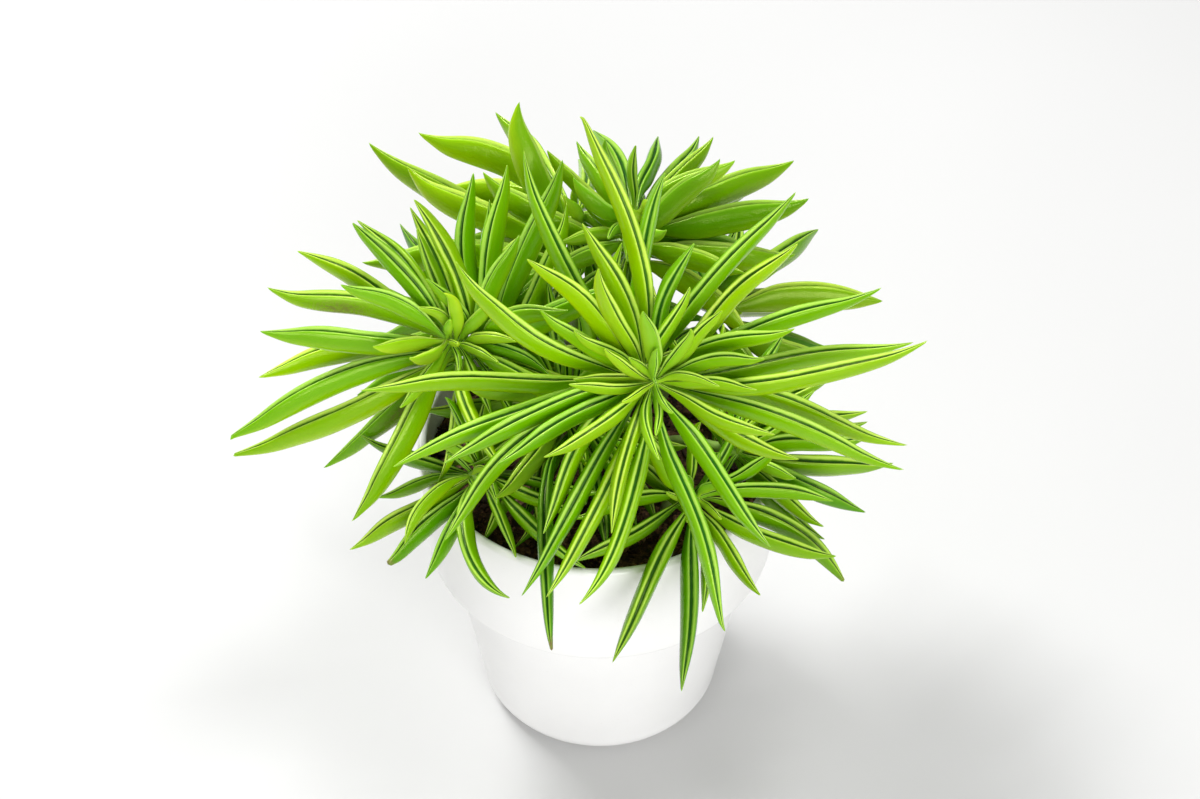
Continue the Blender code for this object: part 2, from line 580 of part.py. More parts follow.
def turned(name, profile, material, segments=POT_SEGMENTS):
    """A solid of revolution; the profile runs from the axis, out and up, and back to the axis."""
    vertices, faces, rows = [], [], []
    for radius, z in profile:
        if radius == 0:
            rows.append([len(vertices)] * segments)
            vertices.append((0, 0, z))
            continue
        rows.append(list(range(len(vertices), len(vertices) + segments)))
        for i in range(segments):
            a = 2 * math.pi * i / segments
            vertices.append((radius * math.cos(a), radius * math.sin(a), z))
    for low, high in zip(rows, rows[1:]):
        for i in range(segments):
            j = (i + 1) % segments
            corners = dict.fromkeys((low[i], low[j], high[j], high[i]))
            faces.append(tuple(corners))
    thing = mesh_object(name, vertices, faces, material)
    thing.data.shade_smooth()
    thing.data.set_sharp_from_angle(angle=math.radians(35))
    return thing


def arc(centre, radius, start, stop, count):
    """Points on an arc in the profile's plane, with its angles in degrees."""
    angles = np.radians(np.linspace(start, stop, count))
    return [(centre[0] + radius * math.cos(a), centre[1] + radius * math.sin(a)) for a in angles]


def inner_profile(gap):
    """The inside of the pot from its floor's edge to the lip, this far in from the wall."""
    collar = POT_HEIGHT - COLLAR_HEIGHT
    return [
        (BASE_RADIUS - WALL - INNER_ROUND - gap, FLOOR + gap),
        (BASE_RADIUS - WALL - gap, FLOOR + INNER_ROUND + gap),
        (BODY_TOP_RADIUS - WALL - gap, collar - INNER_SLOPE + gap),
        (COLLAR_LOW_RADIUS - WALL - gap, collar + INNER_SLOPE + gap),
        (RIM_RADIUS - WALL - gap, POT_HEIGHT - WALL / 2),
    ]


def pot():
    collar = POT_HEIGHT - COLLAR_HEIGHT
    lip = WALL / 2
    profile = [(0, 0)]
    profile += arc((BASE_RADIUS - BASE_ROUND, BASE_ROUND), BASE_ROUND, -90, 0, 6)
    profile += [(BODY_TOP_RADIUS, collar - LEDGE_ROUND)]
    ledge = (COLLAR_LOW_RADIUS - LEDGE_ROUND, collar + LEDGE_ROUND)
    profile += arc(ledge, LEDGE_ROUND, -80, 0, 4)
    profile += arc((RIM_RADIUS - lip, POT_HEIGHT - lip), lip, 0, 180, 7)
    profile += reversed(inner_profile(0)[:-1])
    profile += [(0, FLOOR)]
    return turned("cover_pot", profile, paint("white_ceramic", (0.86, 0.86, 0.85), 0.28))


def soil():
    collar = POT_HEIGHT - COLLAR_HEIGHT + INNER_SLOPE + CLEARANCE
    inside = inner_profile(CLEARANCE)
    share = (SOIL_TOP - SOIL_CROWN - collar) / (POT_HEIGHT - WALL / 2 - collar)
    edge = inside[3][0] + share * (inside[4][0] - inside[3][0])
    profile = [(0, FLOOR + CLEARANCE)] + inside[:4]
    profile += [(edge, SOIL_TOP - SOIL_CROWN), (edge * SOIL_EDGE, SOIL_TOP)]
    profile += [(0, SOIL_TOP + SOIL_CROWN)]
    bed = turned("soil", profile, paint("dark_peat", (0.055, 0.030, 0.018), 0.95))
    vertices, faces = [], []
    reach = STEM_RADIUS + CLEARANCE
    for root, *_ in SHOOTS.values():
        first = len(vertices)
        for z in (SOIL_TOP - SOCKET_DEPTH - CLEARANCE, SOIL_TOP + 0.004):
            for i in range(STEM_SIDES):
                a = 2 * math.pi * i / STEM_SIDES
                wide = reach / math.cos(math.pi / STEM_SIDES)
                vertices.append((root[0] * MM + wide * math.cos(a), root[1] * MM + wide * math.sin(a), z))
        faces.append(tuple(first + i for i in reversed(range(STEM_SIDES))))
        faces.append(tuple(first + STEM_SIDES + i for i in range(STEM_SIDES)))
        for i in range(STEM_SIDES):
            j = (i + 1) % STEM_SIDES
            faces.append((first + i, first + j, first + STEM_SIDES + j, first + STEM_SIDES + i))
    cutter = mesh_object("stem_sockets", vertices, faces, bed.data.materials[0], helper=True)
    bpy.context.scene.collection.objects.link(cutter)
    cut = bed.modifiers.new("sockets", "BOOLEAN")
    cut.object = cutter
    cut.operation = "DIFFERENCE"
    return bed


def stem(name, root, tip, material):
    """A stem from its socket in the soil to its growing tip."""
    line = stem_line(root, tip, 11)
    under = line[0] - (0, 0, SOCKET_DEPTH)
    line = np.concatenate([[under], line])
    tangent = unit(np.gradient(line, axis=0))
    tangent[:2] = (0, 0, 1)
    rings = []
    for k in range(len(line) - 1):
        radius = STEM_RADIUS + (STEM_TIP_RADIUS - STEM_RADIUS) * max(k - 4, 0) / (len(line) - 5)
        across = unit(np.cross((0.0, 1.0, 0.0), tangent[k]))
        other = np.cross(tangent[k], across)
        rings.append([
            line[k] + radius * (math.cos(a) * across + math.sin(a) * other)
            for a in np.linspace(0, 2 * math.pi, STEM_SIDES, endpoint=False)
        ])
    return mesh_object(name, *loft(rings, line[-1]), material)


def clear_of_stem(leaf, line):
    """The share of the leaf's length at which it is clear of its own stem."""
    t = np.linspace(0, 1, STATIONS)
    for share in np.linspace(0, 0.5, 201):
        at = np.array([np.interp(share, t, leaf["points"][:, i]) for i in range(3)])
        _, half = pod_sizes(leaf, share)
        if np.linalg.norm(line - at, axis=1).min() > STEM_RADIUS + CLEARANCE + half * 0.9:
            return share
    return 0.5


def finish_union(thing):
    """Makes the union the object's own mesh, without the slivers and pinholes that it leaves."""
    graph = bpy.context.evaluated_depsgraph_get()
    mesh = bpy.data.meshes.new_from_object(thing.evaluated_get(graph))
    thing.modifiers.clear()
    thing.data = mesh
    work = bmesh.new()
    work.from_mesh(mesh)
    left = set(work.verts)
    while left:
        shell, edge = set(), [left.pop()]
        while edge:
            vertex = edge.pop()
            shell.add(vertex)
            for other in (link.other_vert(vertex) for link in vertex.link_edges):
                if other in left:
                    left.discard(other)
                    edge.append(other)
        faces = {face for vertex in shell for face in vertex.link_faces}
        volume = 0.0
        for face in faces:
            a, *rest = (corner.co for corner in face.verts)
            volume += sum(a.dot(b.cross(c)) for b, c in zip(rest, rest[1:])) / 6
        if abs(volume) < SLIVER:
            bmesh.ops.delete(work, geom=list(shell), context="VERTS")
    work.to_mesh(mesh)
    work.free()


def plant():
    green = paint("leaf_green", (0.16, 0.42, 0.03), 0.35)
    young = paint("stem_green", (0.28, 0.50, 0.08), 0.45)
    leaves = thin(make_room(grow()))
    alone = leaf_nodes(leaves)
    for shoot, (root, tip, _, _) in SHOOTS.items():
        line = stem_line(root, tip, 200)
        stalk = stem(f"{shoot}_stem", root, tip, young)
        joined = bpy.data.collections.new(f"{shoot}_young_leaves")
        bpy.context.scene.collection.children.link(joined)
        for leaf in leaves:
            if leaf["shoot"] != shoot or leaf["length"] < SHORTEST_LEAF * LEAF_GROWTH:
                continue
            if leaf["name"] in alone:
                shape = leaf_mesh(leaf, clear_of_stem(leaf, line), LEAF_RINGS, LEAF_CORNERS)
                mesh_object(leaf["name"], *shape, green)
            else:
                shape = leaf_mesh(leaf, 0.0, YOUNG_RINGS, YOUNG_CORNERS)
                joined.objects.link(mesh_object(leaf["name"], *shape, green, helper=True))
        union = stalk.modifiers.new("young_leaves", "BOOLEAN")
        union.operation = "UNION"
        union.operand_type = "COLLECTION"
        union.collection = joined
        finish_union(stalk)


def main():
    for thing in list(bpy.data.objects):
        bpy.data.objects.remove(thing)
    pot()
    soil()
    plant()


main()
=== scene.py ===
"""The looks of the potted peperomia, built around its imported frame: glazed pot, peat, stems and leaves.

Lengths are metres unless a name or comment says millimetres; +Z is up and -Y is the plant's front.
"""
import json
from math import acos, atan2, cos, exp, hypot, pi, radians, sin, sqrt, tan

import bpy
import numpy as np
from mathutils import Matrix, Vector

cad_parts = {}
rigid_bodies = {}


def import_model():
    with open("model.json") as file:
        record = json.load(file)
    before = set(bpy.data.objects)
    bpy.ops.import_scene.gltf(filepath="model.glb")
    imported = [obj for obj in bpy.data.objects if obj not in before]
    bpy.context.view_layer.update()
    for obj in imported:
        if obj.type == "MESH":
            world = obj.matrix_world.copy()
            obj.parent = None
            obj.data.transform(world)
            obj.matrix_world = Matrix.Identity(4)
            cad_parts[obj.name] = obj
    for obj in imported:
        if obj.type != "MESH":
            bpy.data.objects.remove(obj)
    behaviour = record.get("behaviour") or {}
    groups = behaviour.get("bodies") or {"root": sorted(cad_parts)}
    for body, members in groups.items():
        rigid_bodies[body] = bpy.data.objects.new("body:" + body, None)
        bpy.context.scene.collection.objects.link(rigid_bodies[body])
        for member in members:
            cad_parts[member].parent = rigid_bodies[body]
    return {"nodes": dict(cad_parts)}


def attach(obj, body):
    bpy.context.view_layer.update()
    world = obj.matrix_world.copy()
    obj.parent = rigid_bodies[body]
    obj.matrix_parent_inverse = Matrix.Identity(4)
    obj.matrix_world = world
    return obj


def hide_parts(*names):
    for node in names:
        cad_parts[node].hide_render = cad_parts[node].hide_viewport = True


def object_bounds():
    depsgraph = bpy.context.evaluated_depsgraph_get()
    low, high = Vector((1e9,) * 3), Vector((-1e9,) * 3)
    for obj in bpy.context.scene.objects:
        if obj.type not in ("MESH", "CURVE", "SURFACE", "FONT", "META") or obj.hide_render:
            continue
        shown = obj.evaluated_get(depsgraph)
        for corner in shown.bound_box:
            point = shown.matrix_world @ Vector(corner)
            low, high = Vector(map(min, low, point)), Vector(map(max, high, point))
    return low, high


MM = 0.001

# Pot
RIM_RADIUS = 0.0675
POT_HEIGHT = 0.131
COLLAR_HEIGHT = 0.051
COLLAR_LOW_RADIUS = 0.0654
BODY_TOP_RADIUS = 0.0578
BASE_RADIUS = 0.0466
BASE_ROUND = 0.0090
WALL = 0.0036
FLOOR = 0.0060
INNER_ROUND = 0.0060
INNER_SLOPE = 0.0040

# Soil
SOIL_DROP = 0.0125
SOIL_CROWN = 0.0010
SOIL_EDGE = 0.97
CLEARANCE = 0.0003
SOCKET_DEPTH = 0.0080

# Stems
STEM_RADIUS = 0.0024
STEM_TIP_RADIUS = 0.0014

# Leaves
LEAF_GROWTH = 1.0
LEAF_WIDTH = 0.0064
LEAF_DEPTH = 0.0100
PETIOLE_RADIUS = 0.0008
SKYWARD = 0.62
SWAY = 13.0
SWAY_TURNS = (1.7, 2.4)
LEAF_NODES = 48

# Where leaves leave their stem: the first one below the tip, the steps down, the room between two
# bases in petiole radii, and the lowest place
FIRST_BASE = 0.0014
BASE_STEP = 0.0003
BASE_ROOM = 2.6
LOWEST_BASE = 0.060

# How leaves make room for each other
STATIONS = 14
LEAF_GAP = 0.0006
RIM_GAP = 0.0012
CLOSE_BY = 0.0175
ROUNDS = 170
MOST_ROUNDS = 260
LIST_EVERY = 5
SHARE_MOVED = 0.6
LONGEST_MOVE = 0.004
CROWDING = 0.6
STIFF_BASE = 0.08
TIP_FOLLOW = 0.6
MOST_FOLLOW = 3.0
HOLD = 0.05
SMOOTHING = 0.15

# How a leaf thins where it still presses on something
PRESS_STATIONS = 40
PRESS_GAP = 0.0005
PRESS_SPREAD = 5
THINNEST = 0.35

SOIL_TOP = POT_HEIGHT - SOIL_DROP

# Each shoot: its root (x, y) and the tip of its stem (x, y, height above the soil), in millimetres.
# Each leaf, from the youngest outward: its turn round the plant's forward-leaning axis, its lean
# away from that axis, both in degrees, its length in millimetres, its arch and its sideways bend.
SHOOTS = {
    "front": ((4, -2), (19, -50, 90), 0.95, [
        (80, 35, 20, 0, 0), (-20, 50, 16, 25, 0), (220, 45, 17, 10, 0), (67, 42, 30, 0, 0),
        (146, 50, 16, 10, 0), (-100, 45, 23, 5, 0), (130, 50, 24, 5, 0), (-4, 60, 23, 30, 0),
        (90, 45, 40, 0, 0), (174, 60, 27, 25, 0), (54, 50, 40, 0, 0), (-87, 55, 31, -5, 6),
        (144, 60, 34, 10, 0), (-4, 65, 36, 15, 0), (66, 52, 44, 5, -8), (182, 65, 30, -5, 0),
        (125, 54, 52, 0, -8), (17, 60, 42, 15, -8), (212, 65, 48, 5, 5), (-23, 65, 44, 5, 5),
        (64, 53, 57, 0, -5), (151, 68, 47, 0, 0), (107, 58, 64, -5, 5), (19, 65, 55, 5, 5),
        (-36, 75, 56, 0, -5), (206, 75, 60, 5, 8), (-103, 70, 54, 5, 8), (133, 63, 66, 0, 0),
        (52, 60, 76, 0, -4), (205, 80, 74, 5, 5), (-48, 80, 68, 5, -3), (142, 63, 80, 0, -3),
        (6, 85, 93, 10, 10), (-115, 75, 79, 5, -5), (54, 63, 85, 0, -4), (206, 86, 91, 5, 6),
        (30, 75, 87, 5, 3), (103, 62, 103, 0, 6), (-18, 85, 90, 5, -5), (83, 60, 82, 0, -3),
        (214, 84, 86, 5, 8), (-70, 78, 88, 5, 12), (183, 90, 96, 5, 4), (-108, 78, 80, 5, -28),
        (115, 74, 87, 0, -6), (-120, 95, 84, 10, -12), (9, 98, 94, 5, 4), (-13, 98, 92, 5, -5),
        (240, 85, 62, 0, 5), (90, 68, 52, 0, 0),
    ]),
    "left": ((-14, 4), (-55, -6, 68), 1.05, [
        (87, 35, 12, 0, 0), (-5, 35, 10, 25, 0), (-70, 45, 14, 25, 0), (168, 50, 20, 10, 0),
        (112, 55, 24, 0, 0), (200, 50, 22, 10, 0), (40, 55, 25, 15, 0), (15, 60, 25, 20, 0),
        (-25, 55, 21, 20, 0), (180, 65, 30, 5, 0), (223, 65, 30, 15, 10), (136, 65, 34, 0, 0),
        (-47, 70, 30, 5, 5), (90, 65, 44, 0, -3), (158, 70, 44, 5, 0), (-22, 70, 33, 20, 0),
        (139, 70, 58, 0, 0), (107, 68, 56, 0, 3), (38, 68, 47, 5, 8), (119, 68, 62, 0, 5),
        (101, 68, 66, 0, 0), (146, 72, 67, 0, 5), (10, 72, 48, 10, 0), (78, 70, 68, 5, 6),
        (175, 80, 68, 5, -4), (181, 82, 68, 12, 10), (31, 72, 62, 5, 5), (191, 86, 74, 8, 6),
        (66, 72, 78, 8, 8), (198, 88, 90, 8, 4), (232, 90, 72, 5, 0), (195, 95, 96, 8, 6),
        (64, 88, 62, 5, 5), (190, 102, 70, 10, 0), (219, 100, 76, 5, 0), (128, 92, 60, 0, 0),
        (155, 98, 64, 5, 0), (-35, 95, 56, 10, 0), (88, 95, 60, 0, 0), (0, 90, 56, 5, 0),
        (-75, 90, 50, 0, 0), (-50, 80, 42, 5, 0), (-20, 85, 60, 5, 0), (-100, 85, 52, 5, 0),
    ]),
    "back": ((4, 16), (13, 42, 86), 1.15, [
        (-80, 20, 16, 25, 0), (20, 25, 16, 30, 0), (110, 30, 16, 0, 0), (-60, 30, 22, 35, 0),
        (200, 30, 18, 35, 0), (60, 40, 24, 5, 0), (107, 60, 26, 0, -20), (-20, 45, 30, 30, 0),
        (160, 45, 28, 30, 0), (22, 70, 40, 20, 5), (135, 70, 30, 5, 0), (50, 75, 45, 5, -5),
        (118, 75, 34, 0, 5), (-160, 60, 40, 25, 0), (45, 82, 42, 5, 0), (116, 88, 42, 0, 5),
        (24, 80, 64, 10, 5), (-15, 75, 44, 15, 0), (141, 82, 44, 5, -6), (12, 88, 60, 5, 0),
        (144, 92, 60, 5, -6), (2, 88, 65, 5, 6), (68, 150, 46, 0, 0), (-9, 95, 57, 5, 0),
        (-60, 75, 42, 5, 0), (-105, 75, 42, 5, 0), (-35, 88, 52, 5, 0), (-140, 85, 48, 5, 0),
        (-80, 95, 52, 5, 0), (60, 140, 60, 0, 0), (105, 148, 60, 0, 0), (30, 138, 62, 0, 0),
        (125, 146, 64, 0, 0), (42, 148, 66, 0, 0), (80, 156, 70, 0, 0),
    ]),
    "back_left": ((-8, 22), (-9, 51, 77), 1.2, [
        (90, 30, 14, 0, 0), (-60, 35, 16, 25, 0), (190, 40, 18, 25, 0), (30, 45, 20, 15, 0),
        (130, 50, 22, 0, 0), (-100, 50, 24, 20, 0), (180, 60, 32, 15, 0), (-30, 60, 30, 15, 0),
        (150, 68, 38, 0, 0), (210, 70, 42, 5, 0), (128, 78, 58, 5, -6), (-70, 75, 42, 5, 0),
        (184, 80, 54, 5, 0), (132, 72, 70, 0, -4), (172, 88, 66, 5, 0), (-115, 82, 50, 5, 0),
        (141, 90, 92, 0, -5), (112, 152, 52, 0, 0), (181, 95, 78, 8, 5), (202, 95, 60, 5, 0),
        (-145, 88, 52, 5, 0), (134, 130, 66, 0, 0), (168, 116, 66, 0, 0), (118, 152, 66, 0, 0),
        (192, 118, 62, 0, 0),
    ]),
    "right": ((20, 2), (50, -30, 34), 1.1, [
        (60, 40, 12, 0, 0), (-60, 45, 12, 20, 0), (160, 45, 14, 10, 0), (29, 60, 24, 10, 0),
        (100, 55, 24, 0, 0), (-30, 60, 26, 10, 0), (35, 70, 36, 5, 0), (75, 70, 34, 0, 0),
        (-38, 85, 40, 5, 5), (-4, 80, 48, 5, 0), (25, 85, 48, 5, 0), (-15, 88, 52, 5, -5),
        (18, 92, 54, 5, 0), (60, 90, 48, 0, 0), (-2, 100, 64, 5, 0), (-52, 95, 46, 5, 5),
        (35, 108, 60, 0, 0), (10, 112, 62, 0, 0), (90, 85, 44, 0, 0), (130, 80, 40, 0, 0),
    ]),
    "front_left": ((-18, -18), (-47, -34, 27), 1.0, [
        (60, 35, 12, 0, 0), (190, 45, 14, 10, 0), (-60, 45, 14, 10, 0), (154, 55, 26, 0, 0),
        (-79, 60, 20, 0, 0), (40, 60, 26, 0, 0), (181, 75, 38, 5, 0), (-51, 75, 34, 0, 0),
        (-130, 80, 34, 20, 15), (110, 70, 36, 0, 0), (209, 85, 52, 5, 5), (-80, 88, 54, 22, 30),
        (-106, 92, 50, 8, 0), (165, 95, 50, 0, 0), (-25, 90, 46, 5, 0), (90, 60, 33, 0, 0),
        (-36, 92, 52, 5, 0), (-8, 82, 46, 0, 0), (-86, 96, 44, 20, 10),
    ]),
    "middle": ((-4, -10), (-14, -14, 46), 1.05, [
        (90, 20, 14, 0, 0), (200, 30, 14, 0, 0), (-40, 35, 14, 0, 0), (120, 40, 30, 0, 0),
        (60, 40, 28, 0, 0), (180, 50, 30, 0, 0), (95, 50, 40, 0, 0), (150, 60, 44, 0, 0),
        (40, 55, 40, 0, 0), (-110, 80, 50, 0, -10), (200, 70, 42, 0, 0), (-90, 90, 52, 5, 0),
        (-20, 75, 42, 5, 0), (-50, 80, 44, 5, 0), (130, 75, 48, 0, 0), (-150, 85, 50, 5, 0),
        (60, 75, 46, 0, 0), (160, 82, 42, 0, 0), (15, 85, 46, 0, 0), (-130, 92, 54, 5, 0),
        (-70, 96, 50, 5, 0), (100, 82, 46, 0, 0), (-96, 82, 94, 22, 4), (-40, 90, 56, 5, 0),
        (75, 90, 52, 5, 0), (40, 85, 50, 5, 0), (180, 95, 52, 5, 0), (-120, 68, 40, 0, 0),
        (-75, 66, 38, 0, 0), (-5, 74, 46, 0, 0), (-55, 62, 36, 0, 0), (15, 60, 42, 0, 0),
        (-104, 104, 44, 5, 0), (-58, 104, 46, 5, 0), (-82, 104, 52, 12, 0), (-28, 98, 52, 5, 0),
        (-118, 100, 50, 5, 0),
    ]),
    "low_front": ((24, -26), (35, -45, 27), 1.0, [
        (60, 30, 12, 20, 0), (180, 35, 12, 20, 0), (-60, 40, 14, 20, 0), (120, 45, 16, 0, 0),
        (0, 50, 18, 10, 0), (-120, 50, 16, 10, 0), (60, 60, 22, 5, 0), (-90, 85, 40, 15, 0),
        (-12, 85, 48, 5, -5), (-53, 88, 56, 15, 8), (-40, 92, 64, 15, 8), (-119, 88, 62, 34, -10),
        (-121, 90, 66, 36, -2), (90, 60, 34, 0, 0), (55, 72, 40, 0, 0), (120, 72, 38, 0, 0),
        (25, 74, 38, 0, 0), (-150, 84, 50, 5, 0), (-168, 80, 46, 5, 0), (165, 72, 44, 0, 0),
        (-75, 92, 46, 10, 0),
    ]),
    "rear_right": ((22, 26), (47, 44, 38), 1.2, [
        (90, 60, 14, 0, 0), (10, 50, 14, 0, 0), (160, 50, 14, 0, 0), (19, 70, 34, 5, 0),
        (120, 70, 32, 0, 0), (60, 80, 36, 5, 0), (-16, 85, 54, 5, 0), (8, 85, 62, 5, 6),
        (-50, 80, 44, 5, 0), (170, 75, 44, 5, 0), (40, 138, 58, 0, 0), (-130, 80, 44, 5, 0),
        (80, 112, 50, 0, 0), (10, 130, 62, 5, 0), (58, 150, 66, 0, 0), (-90, 85, 46, 5, 0),
        (-6, 122, 60, 5, 0), (100, 142, 62, 0, 0),
    ]),
    "rear_left": ((-24, 22), (-46, 46, 30), 1.1, [
        (90, 60, 14, 0, 0), (170, 50, 14, 0, 0), (20, 50, 14, 0, 0), (120, 80, 34, 5, 0),
        (180, 80, 38, 5, 0), (70, 80, 36, 0, 0), (20, 80, 44, 5, 0), (-40, 85, 44, 5, 0),
        (-110, 85, 44, 5, 0), (150, 98, 54, 5, 0), (195, 98, 56, 5, 0), (100, 112, 54, 0, 0),
        (165, 115, 64, 5, 0), (130, 126, 64, 5, 0), (185, 118, 62, 0, 0), (80, 132, 60, 0, 0),
    ]),
}

# The axis that the leaves' turn and lean are measured from leans towards the plant's front.
AXIS_TILT = radians(45)
FORWARD = np.array((0, -sin(AXIS_TILT), cos(AXIS_TILT)))
RIGHT = np.array((1.0, 0.0, 0.0))
UPWARD = np.cross(FORWARD, RIGHT)


def unit(v):
    return v / np.linalg.norm(v, axis=-1, keepdims=True)


def stem_line(root, tip, count=25):
    """Points up a stem, from the soil's top to its growing tip."""
    start = np.array((*root, SOIL_TOP / MM), float)
    end = np.array((tip[0], tip[1], SOIL_TOP / MM + tip[2]), float)
    bend = start + (end - start) * (0.15, 0.15, 0.6)
    t = np.linspace(0, 1, count)[:, None]
    return ((1 - t) ** 2 * start + 2 * t * (1 - t) * bend + t**2 * end) * MM


def below_tip(line, distance):
    """The point of the stem at this distance below its tip, and the stem's direction there."""
    steps = np.linalg.norm(np.diff(line, axis=0), axis=1)
    run = np.concatenate([[0], np.cumsum(steps)])
    at = max(run[-1] - distance, 0.2 * run[-1])
    point = np.array([np.interp(at, run, line[:, i]) for i in range(3)])
    k = min(np.searchsorted(run, at, side="right"), len(steps)) - 1
    return point, unit(line[k + 1] - line[k])


def leaf_line(base, axis, leaf):
    """Points along a leaf: a cubic curve that starts a little towards the stem's axis."""
    turn, lean, length, arch, bend = leaf
    a, b = radians(turn), radians(lean)
    chord = cos(b) * FORWARD + sin(b) * (cos(a) * RIGHT + sin(a) * UPWARD)
    side = unit(np.cross(axis, chord))
    up = np.cross(chord, side)
    rise, sway = tan(radians(arch + 6)), tan(radians(bend))
    length = length * MM * LEAF_GROWTH
    out = unit(chord + rise * up - sway * side)
    back = unit(chord - rise * up + sway * side)
    end = base + length * chord
    t = np.linspace(0, 1, STATIONS)[:, None]
    handle_a, handle_b = base + length / 3 * out, end - length / 3 * back
    return (
        (1 - t) ** 3 * base + 3 * t * (1 - t) ** 2 * handle_a
        + 3 * t**2 * (1 - t) * handle_b + t**3 * end
    )


def half_sizes(length, stoutness, t):
    """Half the width and half the depth of a leaf of this length, at shares t of its length."""
    grown = stoutness * np.minimum(1, 0.16 + length / 0.062 * 0.84)
    rise = np.clip(t / 0.42, 0, 1)
    fall = np.clip((t - 0.56) / 0.44, 0, 1)
    fullness = (0.14 + 0.86 * rise**2 * (3 - 2 * rise)) * (1 - fall**2.2)
    taper = np.clip((1 - t) / 0.10, 0, 1) ** 0.5
    width = np.maximum(LEAF_WIDTH / 2 * grown * fullness, PETIOLE_RADIUS * taper)
    depth = np.maximum(LEAF_DEPTH / 2 * grown * fullness, PETIOLE_RADIUS * taper)
    return width, depth


def grow():
    """Every leaf of every shoot where it grows, before the leaves make room for each other."""
    leaves = []
    for shoot, (root, tip, stoutness, rows) in SHOOTS.items():
        line = stem_line(root, tip)
        taken = []
        for number, (turn, lean, length, arch, bend) in enumerate(rows):
            arch += SWAY * cos(SWAY_TURNS[0] * number)
            bend += SWAY * sin(SWAY_TURNS[1] * number)
            distance = FIRST_BASE
            while True:
                base, axis = below_tip(line, distance)
                above = unit((1 - SKYWARD) * axis + SKYWARD * np.array((0, 0, 1)))
                points = leaf_line(base, above, (turn, lean, length, arch, bend))
                out = points[1] - base
                out = unit(out - axis * (out @ axis))
                mark = base + out * STEM_RADIUS
                apart = BASE_ROOM * PETIOLE_RADIUS * min(1, 0.45 + length / 60)
                if all(np.linalg.norm(mark - other) > apart for other in taken):
                    break
                distance += BASE_STEP
                if distance > LOWEST_BASE:
                    break
            taken.append(mark)
            leaves.append({
                "name": f"{shoot}_leaf_{number + 1:02d}", "shoot": shoot, "points": points,
                "axis": above, "length": length * MM * LEAF_GROWTH, "stoutness": stoutness,
            })
    return leaves


def frames(points, axes):
    """Tangent, sideways and upward directions at every station; up is the side that faces the axis."""
    tangent = unit(np.gradient(points, axis=1))
    middle = STATIONS // 2
    side = np.empty_like(tangent)
    side[:, middle] = unit(np.cross(axes, tangent[:, middle]))
    # From its middle the leaf keeps its side towards both ends, without a twist.
    for k in (*range(middle + 1, STATIONS), *range(middle - 1, -1, -1)):
        near = side[:, k - 1] if k > middle else side[:, k + 1]
        along = (near * tangent[:, k]).sum(-1, keepdims=True)
        side[:, k] = unit(near - tangent[:, k] * along)
    return tangent, side, np.cross(tangent, side)


